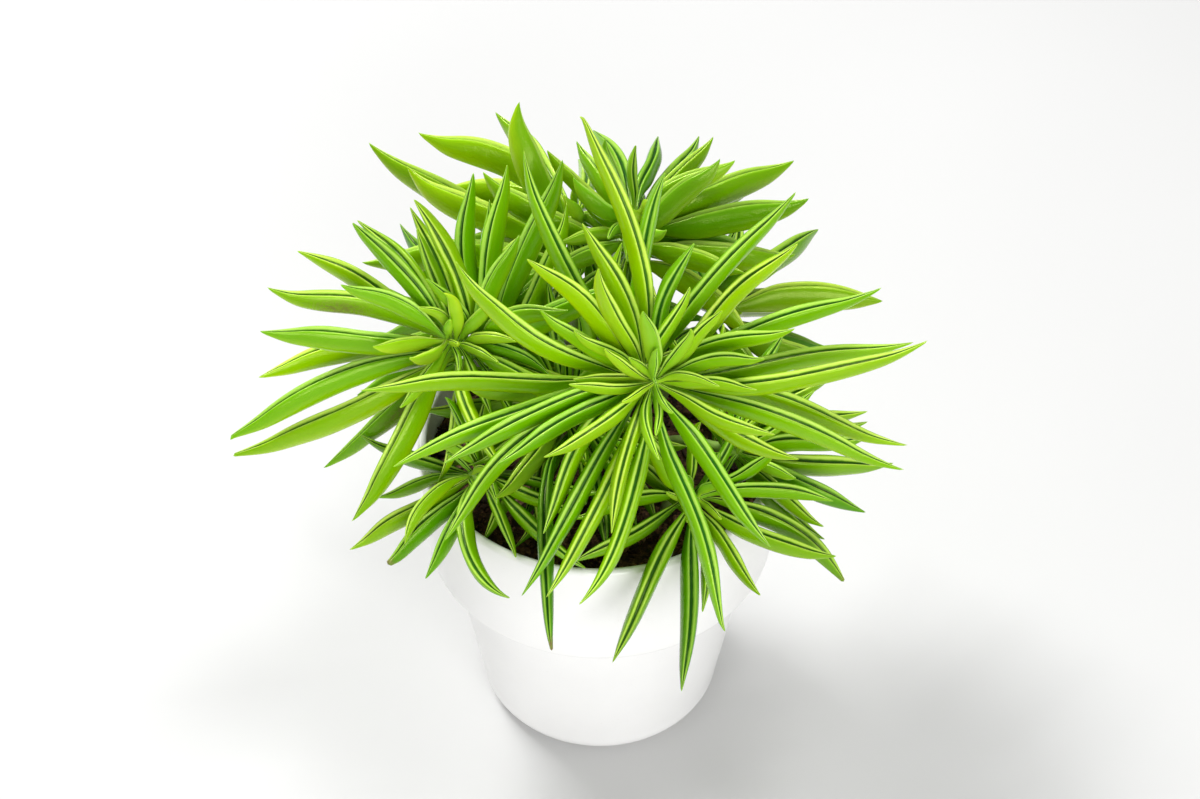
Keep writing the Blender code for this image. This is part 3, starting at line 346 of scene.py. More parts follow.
def make_room(leaves):
    """Bends the leaves apart until none runs through another, a stem, the soil or the pot."""
    points = np.array([leaf["points"] for leaf in leaves])
    axes = np.array([leaf["axis"] for leaf in leaves])
    lengths = np.array([leaf["length"] for leaf in leaves])
    count = len(leaves)
    t = np.linspace(0, 1, STATIONS)
    sizes = [half_sizes(leaf["length"], leaf["stoutness"], t) for leaf in leaves]
    width = np.array([s[0] for s in sizes])
    depth = np.array([s[1] for s in sizes])
    step = np.linalg.norm(np.diff(points, axis=1), axis=2)
    reach = lengths[:, None] / (STATIONS - 1) * 0.55 * np.ones((1, STATIONS))
    owner = np.repeat(np.arange(count), STATIONS)
    # A push on one station turns the whole leaf about its base and bends what is past the push.
    ratio = t[:, None] / np.maximum(t[None, :], STIFF_BASE)
    sway = np.where(ratio < 1, ratio, np.minimum(1 + (ratio - 1) * TIP_FOLLOW, MOST_FOLLOW))
    stems = [stem_line(root, tip, 40) for root, tip, _, _ in SHOOTS.values()]
    stem_points = np.concatenate(stems)
    stem_owner = np.repeat(np.arange(len(stems)), 40)
    shoot_of = np.array([list(SHOOTS).index(leaf["shoot"]) for leaf in leaves])
    home = points.copy()
    for turn in range(MOST_ROUNDS):
        tangent, side, up = frames(points, axes)
        flat = points.reshape(-1, 3)
        if turn % LIST_EVERY == 0:
            square = (flat**2).sum(1)
            near = square[:, None] + square[None, :] - 2 * flat @ flat.T < CLOSE_BY**2
            near &= owner[:, None] < owner[None, :]
            first, second = np.nonzero(near)
            inner = (first % STATIONS > 0) & (second % STATIONS > 0)
            first, second = first[inner], second[inner]
        between = flat[second] - flat[first]
        distance = np.linalg.norm(between, axis=1)
        between = between / np.maximum(distance, 1e-6)[:, None]

        def support(index):
            return np.sqrt(
                (width.reshape(-1)[index] * (between * side.reshape(-1, 3)[index]).sum(1)) ** 2
                + (depth.reshape(-1)[index] * (between * up.reshape(-1, 3)[index]).sum(1)) ** 2
                + (reach.reshape(-1)[index] * (between * tangent.reshape(-1, 3)[index]).sum(1)) ** 2
            )

        needed = support(first) + support(second)
        missing = needed + LEAF_GAP - distance
        if turn >= ROUNDS and (distance > THINNEST * needed).all():
            break
        hit = missing > 0
        push = np.zeros_like(flat)
        hits = np.zeros(len(flat))
        shove = between[hit] * missing[hit, None] / 2
        np.add.at(push, first[hit], -shove)
        np.add.at(push, second[hit], shove)
        np.add.at(hits, first[hit], 1)
        np.add.at(hits, second[hit], 1)

        # Stems
        gap = flat[:, None, :] - stem_points[None, :, :]
        away = np.linalg.norm(gap, axis=2)
        own = shoot_of[owner][:, None] == stem_owner[None, :]
        early = (np.arange(len(flat)) % STATIONS < 4)[:, None]
        away = np.where(own & early, 1.0, away)
        nearest = away.argmin(1)
        away = away[np.arange(len(flat)), nearest]
        gap = gap[np.arange(len(flat)), nearest] / np.maximum(away, 1e-6)[:, None]
        lack = STEM_RADIUS + depth.reshape(-1) * 0.8 + LEAF_GAP - away
        touch = (lack > 0) & (np.arange(len(flat)) % STATIONS > 0)
        push[touch] += gap[touch] * lack[touch, None]
        hits[touch] += 1

        # Soil and pot
        half = np.maximum(width, depth).reshape(-1)
        radius = np.hypot(flat[:, 0], flat[:, 1])
        outward = np.stack([flat[:, 0], flat[:, 1], 0 * radius], 1) / np.maximum(radius, 1e-6)[:, None]
        low = SOIL_TOP + SOIL_CROWN + half + LEAF_GAP - flat[:, 2]
        low = np.where(radius < RIM_RADIUS - WALL, low, 0)
        over_rim = POT_HEIGHT + half + RIM_GAP - flat[:, 2]
        on_rim = (radius > RIM_RADIUS - WALL - half - LEAF_GAP) & (radius < RIM_RADIUS - WALL / 4)
        low = np.maximum(low, np.where(on_rim, over_rim, 0))
        beside = (radius >= RIM_RADIUS - WALL / 4) & (over_rim > 0)
        aside = np.where(beside, RIM_RADIUS + half + RIM_GAP - radius, 0)
        flag = (low > 0) | (aside > 0)
        push[:, 2] += np.maximum(low, 0)
        push += outward * np.maximum(aside, 0)[:, None]
        hits[flag] += 1

        push = (push / np.maximum(hits, 1)[:, None]).reshape(count, STATIONS, 3)
        touched = (hits.reshape(count, STATIONS) > 0).sum(1)
        moved = np.einsum("km,imj->ikj", sway, push)
        moved = moved / np.maximum(touched, 1)[:, None, None] ** CROWDING
        moved = np.clip(moved, -LONGEST_MOVE, LONGEST_MOVE)
        hold = HOLD * max(0, 1 - 2 * turn / ROUNDS)
        points = points + SHARE_MOVED * moved + hold * (home - points)
        ways = unit(np.diff(points, axis=1))
        smooth = ways.copy()
        neighbours = SMOOTHING * (ways[:, :-2] + ways[:, 2:])
        smooth[:, 1:-1] = unit(neighbours + (1 - 2 * SMOOTHING) * ways[:, 1:-1])
        runs = np.cumsum(smooth * step[:, :, None], axis=1)
        points = np.concatenate([points[:, :1], points[:, :1] + runs], axis=1)
    for leaf, line in zip(leaves, points):
        leaf["points"] = line
    return leaves


def leaf_nodes(leaves):
    """The names of the longest leaves, which are sub-parts of their own."""
    by_length = sorted(leaves, key=lambda leaf: -leaf["length"])
    return {leaf["name"] for leaf in by_length[:LEAF_NODES]}


def finer(rows):
    """Rows of vectors at the layout's stations, read at the closer stations of the pressing."""
    known, wanted = np.linspace(0, 1, STATIONS), np.linspace(0, 1, PRESS_STATIONS)
    return np.stack(
        [[np.interp(wanted, known, row[:, i]) for row in rows] for i in range(3)], axis=-1
    )


def pressing_pairs(leaves, lines, size):
    """Stations of two leaves of different sub-parts that are close enough to touch."""
    alone = leaf_nodes(leaves)
    node = [leaf["name"] if leaf["name"] in alone else leaf["shoot"] for leaf in leaves]
    middle = lines.mean(axis=1)
    radius = (np.linalg.norm(lines - middle[:, None], axis=2) + size).max(axis=1) + PRESS_GAP
    free = np.linalg.norm(lines - lines[:, :1], axis=2) > STEM_RADIUS
    first, second = [], []
    for i in range(len(leaves)):
        apart = np.linalg.norm(middle - middle[i], axis=1)
        for j in range(i + 1, len(leaves)):
            if node[i] == node[j] or apart[j] > radius[i] + radius[j]:
                continue
            gap = np.linalg.norm(lines[j][None] - lines[i][:, None], axis=2)
            touch = gap < size[i][:, None] + size[j][None] + PRESS_GAP
            a, b = np.nonzero(touch & free[i][:, None] & free[j][None])
            first.append(i * PRESS_STATIONS + a)
            second.append(j * PRESS_STATIONS + b)
    return np.concatenate(first), np.concatenate(second)


def thin(leaves):
    """Thins each leaf where it still presses on a neighbour, a stem or the soil."""
    points = np.array([leaf["points"] for leaf in leaves])
    _, side, up = frames(points, np.array([leaf["axis"] for leaf in leaves]))
    lines = finer(points)
    side, up, flat = finer(side).reshape(-1, 3), finer(up).reshape(-1, 3), lines.reshape(-1, 3)
    t = np.linspace(0, 1, PRESS_STATIONS)
    sizes = [half_sizes(leaf["length"], leaf["stoutness"], t) for leaf in leaves]
    width = np.concatenate([wide for wide, _ in sizes])
    depth = np.concatenate([deep for _, deep in sizes])
    slim = np.ones(len(flat))

    def support(index, way):
        across = width[index] * (way * side[index]).sum(1)
        return np.hypot(across, depth[index] * (way * up[index]).sum(1))

    def press(index, room, needed):
        """Thins these stations to the share of the needed room that there is."""
        share = np.clip(room / np.maximum(needed, PETIOLE_RADIUS / 2), THINNEST, 1)
        np.minimum.at(slim, index, share)

    size = np.maximum(width, depth).reshape(lines.shape[:2])
    first, second = pressing_pairs(leaves, lines, size)
    way = flat[second] - flat[first]
    distance = np.linalg.norm(way, axis=1)
    way = way / np.maximum(distance, 1e-9)[:, None]
    needed = support(first, way) + support(second, way)
    press(first, distance - PRESS_GAP, needed)
    press(second, distance - PRESS_GAP, needed)
    shoot = np.repeat([leaf["shoot"] for leaf in leaves], PRESS_STATIONS)
    for name, (root, tip, _, _) in SHOOTS.items():
        line = stem_line(root, tip, 40)
        others = np.nonzero(shoot != name)[0]
        way = line[None] - flat[others][:, None]
        distance = np.linalg.norm(way, axis=2)
        nearest = distance.argmin(axis=1)
        rows = np.arange(len(others))
        distance = distance[rows, nearest]
        way = way[rows, nearest] / np.maximum(distance, 1e-9)[:, None]
        press(others, distance - STEM_RADIUS - PRESS_GAP, support(others, way))
    above_soil = np.nonzero(np.hypot(flat[:, 0], flat[:, 1]) < RIM_RADIUS - WALL)[0]
    down = np.tile((0.0, 0.0, -1.0), (len(above_soil), 1))
    room = flat[above_soil, 2] - SOIL_TOP - SOIL_CROWN - PRESS_GAP
    press(above_soil, room, support(above_soil, down))
    slim = slim.reshape(lines.shape[:2])
    ends = ((0, 0), (PRESS_SPREAD, PRESS_SPREAD))
    count = 2 * PRESS_SPREAD + 1
    padded = np.pad(slim, ends, mode="edge")
    least = np.min([padded[:, k:k + PRESS_STATIONS] for k in range(count)], axis=0)
    padded = np.pad(least, ends, mode="edge")
    even = np.mean([padded[:, k:k + PRESS_STATIONS] for k in range(count)], axis=0)
    for leaf, row in zip(leaves, np.minimum(even, slim)):
        leaf["slim"] = row
    return leaves


def pod_sizes(leaf, at):
    """Half the width and half the depth of a settled leaf at these shares of its length."""
    width, depth = half_sizes(leaf["length"], leaf["stoutness"], at)
    slim = np.interp(at, np.linspace(0, 1, PRESS_STATIONS), leaf["slim"])
    return width * slim, depth * slim


# Sizes and colours of the looks

# Leaves: rings along a leaf and how much closer they lie towards its tip, the ripple of its width,
# its sideways sway, its hooked tip, and how open its groove is.
LEAF_RINGS = 30
EVEN_RINGS = 0.35
TIP_RINGS = 1.5
RIPPLE = 0.05
TIP_CURL = 0.06
CURL_FROM = 0.80
CURL_SPAN = 0.20
LEAF_SWAY = 0.022
SWAY_WAVES = 7.0
SWAY_FULL = 0.3
GROOVE_SHIFT = 0.10
GROOVE_START = 0.16
GROOVE_CLOSES = 0.2
GROOVE_LEAST = 0.25
BLUNT_END = 0.0006
# Half of a leaf's cross-section, from the middle of the groove on its upper edge round to its keel:
# share of the way round, then sideways and upwards as shares of the half width and half depth.
SECTION = [
    (0.00, 0.00, 0.60), (0.05, 0.13, 0.63), (0.10, 0.22, 0.74), (0.15, 0.32, 0.89),
    (0.21, 0.45, 0.93), (0.29, 0.62, 0.83), (0.39, 0.81, 0.60), (0.50, 0.95, 0.27),
    (0.61, 1.00, -0.07), (0.72, 0.91, -0.42), (0.83, 0.68, -0.72), (0.92, 0.38, -0.92),
    (1.00, 0.00, -1.00),
]
# How dark the oldest leaves of each shoot are, which is painted shade on the shoots at the back and in
# the middle of the plant, less on younger leaves, and how much painted shade darkens the leaves near the
# soil.
DARKEST_SHOOTS = {
    "back": 0.50, "rear_right": 0.75, "rear_left": 0.55, "middle": 0.60, "low_front": 0.25,
    "right": 0.30, "front_left": 0.25, "back_left": 0.20, "left": 0.05, "front": 0.02,
}
LOW_PAINTED_SHADE = 0.45
LOW_SHADE_FROM = 0.175
LOW_SHADE_FADE = 0.06
# Leaves with a cut or withered tip: the share of the leaf that is left, and how brown the end is.
CUT_TIPS = {
    "middle_leaf_23": (0.97, 1.0), "front_left_leaf_13": (0.93, 0.8), "low_front_leaf_11": (0.96, 0.5),
}
# Leaves with a grey-brown rubbed patch, and the share of the length where it is strongest.
SCARRED = {"left_leaf_25": 0.62, "left_leaf_35": 0.45}
SCAR_LENGTH = 0.16
SCAR_STRENGTH = 0.75

# Stems: sides, steps, where they start to taper, and the swelling at each leaf
STALK_SIDES = 14
STALK_STEPS = 60
TAPER_FROM = 0.35
TAPER_SPAN = 0.65
SWELLING = 0.10
SWELLING_LENGTH = 0.9

# Pot: faces round it, the step under its base, the curve under its collar and its unevenness
POT_SEGMENTS = 192
FOOT_RISE = 0.0012
FOOT_EDGE = 0.003
FOOT_WIDTH = 0.004
LEDGE_CURVE = 0.0030
LEDGE_STEP = 0.0006
LEDGE_DROP = 0.0024
UNEVEN = 0.00012
UNEVEN_FROM = 0.01

# Soil: its mesh, how its edge falls, and the crumbs that lie on it by size and share
SOIL_SIDES = 160
SOIL_RINGS = 46
EDGE_FALL = 0.0022
EDGE_FROM = 0.93
EDGE_SPAN = 0.07
ROUGHNESS = 0.0007
CRUMBS = 2600
CRUMB_SIZES = [0.0008, 0.0012, 0.0017, 0.0024, 0.0032]
CRUMB_SHARES = [0.35, 0.3, 0.2, 0.1, 0.05]
SHARP_CRUMB = 40
GOLDEN_TURN = 2.399

# Leaf colours: the bright leaves and the deep ones, across from the groove to the keel. The deep colours
# are painted shade on leaves inside, at the back and near the soil.
GROOVE = (0.020, 0.120, 0.010)
GROOVE_EDGE = (0.08, 0.27, 0.006)
# The pale margins beside the groove: partly the leaf's own paler edge, partly a painted highlight where
# the lips face up.
MARGIN_AND_SHEEN = (0.56, 0.80, 0.13)
LIME = (0.225, 0.49, 0.0003)
LIME_FLANK = (0.34, 0.58, 0.0005)
LIME_KEEL = (0.50, 0.68, 0.0005)
DEEP_GROOVE = (0.006, 0.048, 0.003)
DEEP_MARGIN_AND_SHEEN = (0.26, 0.46, 0.04)
DEEP = (0.045, 0.205, 0.0005)
DEEP_KEEL = (0.12, 0.30, 0.0005)
YOUNG_GREEN = (0.40, 0.66, 0.05)
STALK_GREEN = (0.34, 0.56, 0.08)
WITHERED = (0.20, 0.13, 0.06)

# Stage, light and camera
FLOOR_REACH = 6.0
WORLD_LIGHT = 0.34
LIT_MIDDLE = (0, 0, 0.15)
# Each light: its name, its place, its two sizes and its power
LIGHTS = [
    ("window", (-0.75, 0.75, 1.4), (0.6, 0.45), 25),
    ("front_fill", (0.45, -1.7, 0.75), (1.4, 1.0), 25),
    ("top", (0.35, 0.1, 1.7), (0.4, 0.4), 9),
]
LENS_MM = 85
SENSOR_MM = 36
CAMERA_PLACE = (0, -0.724, 0.881)
CAMERA_TILT = 44.72
SEED = 7


# Meshes

def piece_of(name, vertices, faces, material):
    """An object with this mesh and material, shaded smooth."""
    mesh = bpy.data.meshes.new(name)
    mesh.from_pydata([tuple(map(float, v)) for v in vertices], [], faces)
    mesh.materials.append(material)
    mesh.shade_smooth()
    mesh.update()
    piece = bpy.data.objects.new(name, mesh)
    bpy.context.scene.collection.objects.link(piece)
    return piece


def give(piece, name, values):
    """Stores one value for each vertex, which the materials read."""
    layer = piece.data.attributes.new(name, "FLOAT", "POINT")
    layer.data.foreach_set("value", np.asarray(values, np.float32))


def band(faces, low, high):
    """Adds the faces between two rings of vertex numbers."""
    for i in range(len(low)):
        j = (i + 1) % len(low)
        faces.append((low[i], low[j], high[j], high[i]))


def settle(piece, slot, *nodes):
    """The piece rides the one body and stands for these nodes; the slot is not used."""
    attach(piece, "root")
    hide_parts(*nodes)


# Leaves

def spread(rows, at):
    """A smooth curve through the rows, read at these shares of its length (Catmull-Rom)."""
    last = len(rows) - 1
    place = np.clip(np.asarray(at) * last, 0, last - 1e-9)
    k = place.astype(int)
    u = (place - k)[:, None]
    before = rows[np.maximum(k - 1, 0)]
    start, end = rows[k], rows[k + 1]
    after = rows[np.minimum(k + 2, last)]
    return 0.5 * (
        2 * start + (end - before) * u + (2 * before - 5 * start + 4 * end - after) * u**2
        + (3 * start - before - 3 * end + after) * u**3
    )


def leaf_wobble(dice):
    """How one leaf differs from the next: its ripple, curl, groove and sway."""
    return {
        "ripples": dice.uniform(9, 20), "phase": dice.uniform(0, 6), "curl": dice.uniform(0.3, 1.3),
        "shift": dice.uniform(-1, 1), "sway_phase": dice.uniform(0, 6), "sway": dice.uniform(-1, 1),
    }


def leaf_centre(leaf, at, wobble, sideways, upwards, room):
    """The leaf's middle line with its sway and its hooked tip, inside the box that the solids fill."""
    hook = np.clip((at - CURL_FROM) / CURL_SPAN, 0, 1) ** 2
    curl = TIP_CURL * leaf["length"] * wobble["curl"] * hook
    sway = LEAF_SWAY * leaf["length"] * np.sin(at * SWAY_WAVES + wobble["sway_phase"])
    sway = sway * np.clip(at / SWAY_FULL, 0, 1)
    centre = spread(leaf["points"], at)
    centre = centre + curl[:, None] * upwards + (sway * wobble["sway"])[:, None] * sideways
    return np.clip(centre, BOX[0] + room, BOX[1] - room)


def leaf_shape(leaf, wobble):
    """Vertices, faces and vertex values (across, along) of one finished leaf."""
    kept, _ = CUT_TIPS.get(leaf["name"], (1.0, 0.0))
    share = np.linspace(0, 1, LEAF_RINGS)
    at = (EVEN_RINGS * share + (1 - EVEN_RINGS) * (1 - (1 - share) ** TIP_RINGS)) * kept
    _, side, up = (f[0] for f in frames(leaf["points"][None], leaf["axis"][None]))
    sideways = unit(spread(side, at))
    upwards = unit(spread(up, at))
    width, depth = pod_sizes(leaf, at)
    ripple = 1 + RIPPLE * np.sin(at * wobble["ripples"] + wobble["phase"]) * np.clip(at * 4, 0, 1)
    width = width * ripple
    centre = leaf_centre(leaf, at, wobble, sideways, upwards, np.maximum(width, depth)[:, None])
    shift = GROOVE_SHIFT * wobble["shift"] * np.sin(at * 9 + wobble["phase"])
    half = np.array(SECTION)
    ring = np.concatenate([half, half[-2:0:-1] * (1, -1, 1)])
    across, x, y = ring.T
    # The groove is shallow at the stalk and closes towards the tip.
    opening = np.clip(at / GROOVE_START, 0, 1) * np.clip((1.04 - at) / GROOVE_CLOSES, GROOVE_LEAST, 1)
    closed = np.sqrt(np.maximum(1 - x**2, 0))
    y = np.where(y > 0, closed + (y - closed) * opening[:, None], y)
    x = x + shift[:, None] * (1 - np.abs(x)) * (y > 0)
    rings = (
        centre[:, None] + (x * width[:, None])[..., None] * sideways[:, None]
        + (y * depth[:, None])[..., None] * upwards[:, None]
    )
    blunt = kept < 1
    end = centre[-1] + (BLUNT_END if blunt else 0.0) * unit(centre[-1] - centre[-2])
    body = rings if blunt else rings[:-1]
    rows, count = len(body), len(ring)
    vertices = np.concatenate([body.reshape(-1, 3), [end, centre[0]]])
    faces = []
    for k in range(rows - 1):
        band(faces, range(k * count, (k + 1) * count), range((k + 1) * count, (k + 2) * count))
    last, tip, root = (rows - 1) * count, rows * count, rows * count + 1
    faces += [(last + i, last + (i + 1) % count, tip) for i in range(count)]
    faces += [((i + 1) % count, i, root) for i in range(count)]
    across = np.concatenate([np.tile(across, rows), [0.5 if blunt else 0.2, 0.5]])
    along = np.concatenate([np.repeat(at[:rows], count), [kept, 0.0]])
    return vertices, faces, across, along


def withered(leaf, across, along):
    """How brown each vertex of a leaf is: its cut end and its rubbed patch."""
    brown = np.zeros(len(across))
    kept, burnt = CUT_TIPS.get(leaf["name"], (1.0, 0.0))
    if burnt:
        brown = burnt * np.clip((along - kept + 0.05) / 0.04, 0, 1)
    if leaf["name"] in SCARRED:
        patch = np.exp(-(((along - SCARRED[leaf["name"]]) / SCAR_LENGTH) ** 2))
        brown = np.maximum(brown, SCAR_STRENGTH * patch * np.clip((across - 0.3) / 0.2, 0, 1))
    return brown


def joined_leaves(name, leaves, material, dice):
    """One piece from these leaves, each with its own tone, age, shade and marks as vertex values."""
    parts = []
    values = {"across": [], "along": [], "tone": [], "dark": [], "brown": [], "young": []}
    faces = []
    first = 0
    for leaf in leaves:
        vertices, shape, across, along = leaf_shape(leaf, leaf_wobble(dice))
        parts.append(vertices)
        faces += [tuple(first + i for i in face) for face in shape]
        first += len(vertices)
        tone = dice.uniform(-1, 1)
        # Painted shade: leaves of the back and middle shoots, more on older leaves, and leaves near the
        # soil take the deep colours; each leaf adds a random share.
        dark = DARKEST_SHOOTS[leaf["shoot"]] * (0.5 + 0.5 * leaf["age"]) + dice.uniform(-0.15, 0.25)
        low = np.clip((LOW_SHADE_FROM - leaf["points"][:, 2].mean()) / LOW_SHADE_FADE, 0, 1)
        same = np.ones(len(vertices))
        values["across"].append(across)
        values["along"].append(along)
        values["tone"].append(same * tone)
        values["dark"].append(same * min(max(dark + LOW_PAINTED_SHADE * low, 0), 1))
        values["brown"].append(withered(leaf, across, along))
        values["young"].append(same * (1 - leaf["age"]))
    piece = piece_of(name, np.concatenate(parts), faces, material)
    for key, rows in values.items():
        give(piece, key, np.concatenate(rows))
    return piece


# Stems, pot and soil

def stalk(name, root, tip, marks, material, dice):
    """A fleshy stem with a low collar where each leaf grows from it."""
    line = stem_line(root, tip, STALK_STEPS)
    under = line[0] - (0, 0, SOCKET_DEPTH * 0.9)
    line = np.concatenate([[under], line])
    tangent = unit(np.gradient(line, axis=0))
    tangent[:2] = (0, 0, 1)
    sides, count = STALK_SIDES, len(line)
    vertices, value = [], []
    for k in range(count - 1):
        t = k / (count - 1)
        radius = STEM_RADIUS + (STEM_TIP_RADIUS - STEM_RADIUS) * max(t - TAPER_FROM, 0) / TAPER_SPAN
        across = unit(np.cross((0.0, 1.0, 0.0), tangent[k]))
        other = np.cross(tangent[k], across)
        swell = sum(exp(-((k - m) / SWELLING_LENGTH) ** 2) for m in marks)
        for a in np.linspace(0, 2 * pi, sides, endpoint=False):
            ridges = 0.03 * sin(3 * a + 0.4 * k)
            wide = radius * (0.94 + SWELLING * min(swell, 1.2) + ridges)
            vertices.append(line[k] + wide * (cos(a) * across + sin(a) * other))
            value.append(t)
    vertices.append(line[-1])
    value.append(1)
    faces = [tuple(reversed(range(sides)))]
    for k in range(count - 2):
        band(faces, range(k * sides, (k + 1) * sides), range((k + 1) * sides, (k + 2) * sides))
    last = (count - 2) * sides
    faces += [(last + i, last + (i + 1) % sides, last + sides) for i in range(sides)]
    piece = piece_of(name, vertices, faces, material)
    give(piece, "along", value)
    give(piece, "tone", [dice.uniform(-1, 1)] * len(vertices))
    return piece


def arc(centre, radius, start, stop, count):
    """Points on an arc in the profile's plane, with its angles in degrees."""
    angles = np.radians(np.linspace(start, stop, count))
    return [(centre[0] + radius * cos(a), centre[1] + radius * sin(a)) for a in angles]


def turned(profile, segments, uneven):
    """Vertices and faces of a turned solid; uneven(angle, z) adds to the radius."""
    vertices, faces, rows = [], [], []
    for radius, z in profile:
        if radius == 0:
            rows.append([len(vertices)] * segments)
            vertices.append((0, 0, z))
            continue
        rows.append(list(range(len(vertices), len(vertices) + segments)))
        for i in range(segments):
            a = 2 * pi * i / segments
            wide = radius + uneven(a, z)
            vertices.append((wide * cos(a), wide * sin(a), z))
    for low, high in zip(rows, rows[1:]):
        for i in range(segments):
            j = (i + 1) % segments
            faces.append(tuple(dict.fromkeys((low[i], low[j], high[j], high[i]))))
    return vertices, faces


def uneven_glaze(angle, z):
    """The faint waviness of a hand-finished wall, none at the foot."""
    fade = min(z / UNEVEN_FROM, 1) * UNEVEN
    return -fade * (1 + sin(2 * angle + 12 * z) * 0.6 + sin(5 * angle - 40 * z) * 0.4)


def pot(material):
    """A glazed cover pot: a straight tapering body, a stepped collar and a rounded lip."""
    collar = POT_HEIGHT - COLLAR_HEIGHT
    lip = WALL / 2
    foot = BASE_RADIUS - BASE_ROUND
    profile = [(0, FOOT_RISE), (foot - FOOT_WIDTH, FOOT_RISE), (foot - FOOT_EDGE, 0)]
    profile += arc((foot, BASE_ROUND), BASE_ROUND, -90, 0, 14)
    widening = BODY_TOP_RADIUS - BASE_RADIUS
    body_height = collar - LEDGE_DROP - BASE_ROUND
    for t in np.linspace(0, 1, 14)[1:]:
        profile.append((BASE_RADIUS + widening * t, BASE_ROUND + body_height * t))
    profile.append((BODY_TOP_RADIUS + LEDGE_STEP, collar - LEDGE_STEP))
    under = (COLLAR_LOW_RADIUS - LEDGE_CURVE, collar + LEDGE_CURVE)
    profile += arc(under, LEDGE_CURVE, -75, 0, 8)
    flare = RIM_RADIUS - COLLAR_LOW_RADIUS
    collar_side = COLLAR_HEIGHT - LEDGE_CURVE - lip
    for t in np.linspace(0, 1, 9)[1:-1]:
        profile.append((COLLAR_LOW_RADIUS + flare * t, collar + LEDGE_CURVE + collar_side * t))
    profile += arc((RIM_RADIUS - lip, POT_HEIGHT - lip), lip, 0, 180, 14)
    inside = RIM_RADIUS - WALL
    for z in POT_HEIGHT - np.linspace(lip, COLLAR_HEIGHT - INNER_ROUND, 7)[1:]:
        profile.append((inside - flare * (POT_HEIGHT - z) / COLLAR_HEIGHT, z))
    profile.append((BODY_TOP_RADIUS - WALL, collar - INNER_SLOPE))
    profile.append((BASE_RADIUS - WALL, FLOOR + INNER_ROUND))
    profile += [(BASE_RADIUS - WALL - INNER_ROUND, FLOOR), (0, FLOOR)]
    return piece_of("cover_pot_glazed", *turned(profile, POT_SEGMENTS, uneven_glaze), material)


def lumps(x, y, scale, seed):
    """Smooth bumps from a few crossed waves, between about -1 and 1."""
    total = 0
    for k in range(5):
        a = seed + GOLDEN_TURN * k
        place = scale * (x * cos(a) + y * sin(a))
        total = total + np.sin(place * (1 + 0.27 * k) + 1.7 * k * seed)
    return total / 3


def soil(material, dice):
    """The peat: a rough bed with crumbs and flakes of bark lying on it."""
    collar = POT_HEIGHT - COLLAR_HEIGHT
    share = (SOIL_TOP - collar) / COLLAR_HEIGHT
    edge = COLLAR_LOW_RADIUS + (RIM_RADIUS - COLLAR_LOW_RADIUS) * share - WALL - CLEARANCE
    sides, rings = SOIL_SIDES, SOIL_RINGS
    vertices, faces, value = [], [], []
    for k in range(1, rings + 1):
        radius = edge * k / rings
        for i in range(sides):
            a = 2 * pi * i / sides
            x, y = radius * cos(a), radius * sin(a)
            rough = ROUGHNESS * lumps(x, y, 420, 1.3) + ROUGHNESS * lumps(x, y, 1300, 2.1)
            fall = -EDGE_FALL * max(k / rings - EDGE_FROM, 0) / EDGE_SPAN
            crown = SOIL_CROWN * (1 - (k / rings) ** 2)
            vertices.append((x, y, SOIL_TOP + crown + rough + fall))
            value.append(lumps(x, y, 900, 3.0))
    vertices.append((0, 0, SOIL_TOP + SOIL_CROWN))
    value.append(0)
    middle = len(vertices) - 1
    faces += [(middle, i, (i + 1) % sides) for i in range(sides)]
    for k in range(rings - 1):
        for i in range(sides):
            j = (i + 1) % sides
            faces.append((k * sides + i, (k + 1) * sides + i, (k + 1) * sides + j, k * sides + j))
    low = len(vertices)
    foot = edge * SOIL_EDGE
    for i in range(sides):
        a = 2 * pi * i / sides
        vertices.append((foot * cos(a), foot * sin(a), collar + INNER_ROUND))
        value.append(0)
    rim = (rings - 1) * sides
    for i in range(sides):
        j = (i + 1) % sides
        faces.append((rim + i, low + i, low + j, rim + j))
    faces.append(tuple(low + i for i in reversed(range(sides))))
    for _ in range(CRUMBS):
        radius = edge * sqrt(dice.uniform(0, 0.97))
        a = dice.uniform(0, 2 * pi)
        size = dice.choice(CRUMB_SIZES, p=CRUMB_SHARES)
        add_crumb(vertices, faces, value, radius * cos(a), radius * sin(a), size, dice)
    piece = piece_of("peat_bed", vertices, faces, material)
    piece.data.set_sharp_from_angle(angle=radians(SHARP_CRUMB))
    give(piece, "tone", value)
    return piece


def add_crumb(vertices, faces, value, x, y, size, dice):
    """One crumb or flake: a small uneven eight-cornered lump."""
    turn, tip = dice.uniform(0, 2 * pi), dice.uniform(-0.5, 0.5)
    longer, thin_share = dice.uniform(0.8, 2.0), dice.uniform(0.25, 0.8)
    first = len(vertices)
    height = SOIL_TOP + SOIL_CROWN * (1 - (hypot(x, y) / RIM_RADIUS) ** 2) + size * 0.25
    tone = dice.uniform(-1.5, 1.5)
    for corner in range(8):
        u = (1 if corner & 1 else -1) * dice.uniform(0.6, 1.1) * longer
        v = (1 if corner & 2 else -1) * dice.uniform(0.5, 1.0)
        w = (1 if corner & 4 else -1) * dice.uniform(0.7, 1.0) * thin_share
        px = u * cos(turn) - v * sin(turn)
        py = u * sin(turn) + v * cos(turn)
        pz = w + tip * u * 0.6
        vertices.append((x + px * size / 2, y + py * size / 2, height + pz * size / 2))
        value.append(tone)
    for face in ((0, 2, 3, 1), (4, 5, 7, 6), (0, 1, 5, 4), (2, 6, 7, 3), (0, 4, 6, 2), (1, 3, 7, 5)):
        faces.append(tuple(first + i for i in face))


# Materials

